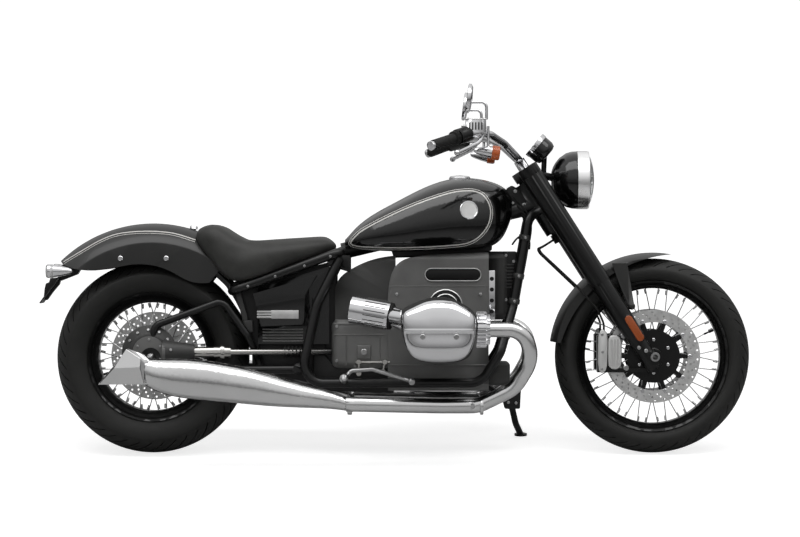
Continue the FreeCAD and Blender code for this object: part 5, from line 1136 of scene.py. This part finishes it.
# %% Body details
discs, rims = [], []
for side in SIDES:
    place, facing = felt("tank", 222, 823, side)
    discs.append(turned_piece("disc", [(0, -6), (27, -6), (27, 1.3), (0, 1.9)], place, facing, 48))
    rims.append(turned_piece("rim", [(26.5, -6), (31.5, -6), (31.5, 1.6), (30, 3), (28, 3), (26.5, 1.8)],
                             place, facing, 48))
settle_all("tank_discs", discs, "frame", STEEL)
settle_all("tank_disc_rims", rims, "frame", CHROME)
strips = sheet_pair("strip", rectangle(-442, 458.5, -350, 486.5), 128, 132, 0.5)
for low in (478.5, 469.5, 460.5):
    strips += sheet_pair("strip", rectangle(-490, low, -350, low + 6), 128, 131.2, 0.5)
settle_all("side_panel_strips", strips, "frame", STEEL)

spots = []
for mount in frame["record"]["mounts"]:
    if mount["name"].startswith("rack_hole"):
        place = TO_UPRIGHT @ Vector(mount["pos_m"])
        way = Vector((0, math.copysign(1.0, place.y), 0))
        spots.append((place + way * 0.0018, way, 8.4, 4.6))
screws("fender_screws", spots, "frame", CHROME)
knob = [(0, -6), (8, -6), (8, 2), (13, 3), (14, 5), (13, 7), (14, 9), (13, 11), (11, 14), (0, 15)]
settle(turned_piece("seat_knob", knob, mm(-711, 0, 757), (0.1, 0, 1), 32), "frame", CHROME)
print("body details done")

# %% [markdown]
# The dial's face has a ring of ticks and a needle, and each grip begins with a ridged collar.

# %% Dial and grips
NEEDLE_START = -130
to_rider = -DIAL_BACK
face = DIAL_FACE / 1000 + DIAL_BACK * 0.0032
dial_up = round_way(90 - DIAL_TILT)


def dial_line(name, degrees, lift, start, end, radius):
    """A thin line outwards from the dial's centre, in metres over its face."""
    angle = math.radians(degrees)
    out = dial_up * math.cos(angle) + Vector((0, 1, 0)) * math.sin(angle)
    over = face + to_rider * lift
    return rod(name, [over + out * start, over + out * end], radius, sides=1, smooth=False)


settle(turned_piece("dial_face", [(0, -0.4), (40, -0.4), (40, 0.6), (0, 0.6)], face, to_rider, 48),
       "steering", FORK_BLACK)
ticks = [dial_line("tick", NEEDLE_START + count * 10, 0.0007, 0.032 if count % 3 else 0.029, 0.036, 0.45)
         for count in range(27)]
settle_all("dial_ticks", ticks, "steering", DIAL_WHITE)
settle(dial_line("dial_needle", NEEDLE_START, 0.0012, -0.008, 0.03, 0.8), "steering", NEEDLE_RED)
ridges = [(12.8, 0)]
for ridge in range(4):
    ridges += [(23.5, ridge * 4 + 0.5), (23.5, ridge * 4 + 2.6), (21, ridge * 4 + 3.4)]
ridges += [(17.5, 17.5), (12.8, 17.5)]
collars = []
for side in SIDES:
    start, end = (Vector((v.x, -side * v.y, v.z)) / 1000 for v in (BAR_BEND, BAR_END))
    collars.append(turned_piece("collar", ridges, start + (end - start) * 0.355, end - start, 36))
settle_all("grip_collars", collars, "steering", RUBBER)

# %% [markdown]
# The fluid reservoirs have fluted sides: thin raised slabs, painted black as painted shade in the
# flutes of the chrome, and a lid held by two small screws. When they are made, nothing more is
# measured, and the upright forms go.

# %% Reservoirs
perch = BAR_BEND + (BAR_END - BAR_BEND) * 0.04 + Vector((-12, 0, 0))
middle = abs(perch.y)
flute_shades = []
for x in (13.5, 23.5, 33.5, 43.5, 53.5):
    line = [(perch.x + x + across, perch.z + 23 + along) for along, across in stadium(0, 0, 13, 2.2, 4)]
    for wall in SIDES:
        flute_shades += sheet_pair("flute", line, middle + wall * 22, middle + wall * 23.7, 0.3, 2)
spots = [(mm(perch.x + x, side * middle, perch.z + 48.5), (0, 0, 1), 3.2, 2.0)
         for side in SIDES for x in (9, 59)]
lids = sheet_pair("lid", rectangle(perch.x - 1, perch.z + 44, perch.x + 69, perch.z + 48.5), middle + 24,
                  middle - 24, 1.8)
# The flutes are raised and black: painted shade on the chrome reservoir.
settle_all("reservoir_flute_shades", flute_shades, "steering", FORK_BLACK)
settle_all("reservoir_lids", lids, "steering", STEEL)
screws("reservoir_screws", spots, "steering")
for form in forms.values():
    bpy.data.objects.remove(form)

# %% [markdown]
# A plain pale studio: a wide floor and broad soft lamps. The floor is lit like the rest and keeps the
# machine's shadow, and it glows a little to the camera, more so far away, so it is evenly white.

# %% Floor
bpy.ops.mesh.primitive_plane_add(size=80.0, location=(0, 0, 0))
floor = bpy.context.object
floor.name = "studio_floor"
paper = bpy.data.materials.new("studio_paper")
paper.use_nodes = True
tree = paper.node_tree
shader = tree.nodes["Principled BSDF"]
shader.inputs["Base Color"].default_value = (0.72, 0.72, 0.72, 1)
shader.inputs["Roughness"].default_value = 0.9
shader.inputs["Specular IOR Level"].default_value = 0.0
ray = add_node(tree, "LightPath")
place = add_node(tree, "TexCoord")
away = add_node(tree, "VectorMath", "LENGTH")
spread = add_node(tree, "MapRange", From_Min=1.5, From_Max=8.0, To_Min=0.78, To_Max=0.97)
lift = add_node(tree, "Math", "MULTIPLY")
glow = add_node(tree, "Emission")
both = add_node(tree, "AddShader")
wire(tree, (place, "Object", away, 0), (away, "Value", spread, "Value"), (spread, "Result", lift, 0),
     (ray, "Is Camera Ray", lift, 1), (lift, 0, glow, "Strength"), (shader, 0, both, 0),
     (glow, 0, both, 1), (both, 0, tree.nodes["Material Output"], "Surface"))
floor.data.materials.append(paper)


# %% Lamps
def lamp(name, place, aim, size, power, mirrored=True):
    """A broad soft lamp, which bright metal shows only if it is mirrored."""
    bpy.ops.object.light_add(type="AREA", location=place)
    soft = bpy.context.object
    soft.name = name
    soft.data.shape = "RECTANGLE"
    soft.data.size, soft.data.size_y = size
    soft.data.energy = power
    soft.visible_glossy = mirrored
    way = Vector(aim) - Vector(place)
    soft.rotation_euler = way.to_track_quat("-Z", "Y").to_euler()


lamp("top_softbox", (0.0, -1.1, 4.0), (0, 0, 0.4), (7.0, 2.2), 130)
lamp("side_softbox", (-0.6, -6.5, 3.6), (0, 0, 0.5), (7.0, 2.4), 60, False)
lamp("back_softbox", (0.4, 5.5, 3.4), (0, 0, 0.6), (7.0, 2.0), 45, False)

# %% [markdown]
# The world is dim to plain surfaces, so that black paint stays black. Bright metal mirrors a soft
# gradient, darkest just above the horizon and pale overhead, as in a photographer's tent, and the
# camera sees it white.

# %% World
TENT = ((0.0, 0.4), (0.03, 0.26), (0.10, 0.3), (0.22, 0.55), (0.45, 0.8), (0.9, 0.95))
PURE_WHITE = (1, 1, 1, 1)
world = bpy.data.worlds.new("studio_world")
bpy.context.scene.world = world
world.use_nodes = True
tree = world.node_tree
dim = tree.nodes["Background"]
dim.inputs["Color"].default_value = PURE_WHITE
dim.inputs["Strength"].default_value = 0.1
white = add_node(tree, "Background", Color=PURE_WHITE)
tent = add_node(tree, "Background")
way = add_node(tree, "TexCoord")
split = add_node(tree, "SeparateXYZ")
gradient = add_node(tree, "ValToRGB")
for index, (height, pale) in enumerate(TENT):
    stops = gradient.color_ramp.elements
    stop = stops[index] if index < 2 else stops.new(height)
    stop.position = height
    stop.color = (pale, pale, pale, 1)
ray = add_node(tree, "LightPath")
either = add_node(tree, "Math", "MAXIMUM")
shiny = add_node(tree, "MixShader")
choice = add_node(tree, "MixShader")
wire(tree, (way, "Generated", split, 0), (split, "Z", gradient, "Fac"), (gradient, "Color", tent, "Color"),
     (ray, "Is Glossy Ray", shiny, "Fac"), (dim, 0, shiny, 1), (tent, 0, shiny, 2),
     (ray, "Is Camera Ray", either, 0), (ray, "Is Transmission Ray", either, 1),
     (either, 0, choice, "Fac"), (shiny, 0, choice, 1), (white, 0, choice, 2),
     (choice, 0, tree.nodes["World Output"], "Surface"))
bpy.context.scene.view_settings.view_transform = "Standard"

# %% [markdown]
# The photograph was taken square from the machine's right, far away and a little over half its height
# up. The camera looks along the leaned machine's own sideways axis, so the machine appears upright.

# %% Camera
DISTANCE = 11.0
SENSOR = 36.0
VIEW_WIDTH = 2.72
aim = TO_FRAME @ mm(-9.2, 0, 736)
sideways = (turn_over @ Vector((0, 1, 0))).normalized()
up = (turn_over @ Vector((0, 0, 1))).normalized()
bpy.ops.object.camera_add(location=aim - sideways * DISTANCE)
camera = bpy.context.object
camera.name = "photo_camera"
right = sideways.cross(up).normalized()
camera.matrix_world = Matrix((
    (right.x, up.x, -sideways.x, camera.location.x),
    (right.y, up.y, -sideways.y, camera.location.y),
    (right.z, up.z, -sideways.z, camera.location.z),
    (0, 0, 0, 1),
))
camera.data.sensor_width = SENSOR
camera.data.lens = SENSOR * DISTANCE / VIEW_WIDTH
camera.data.shift_y = -0.0406
camera.data.clip_end = 100.0
bpy.context.scene.camera = camera
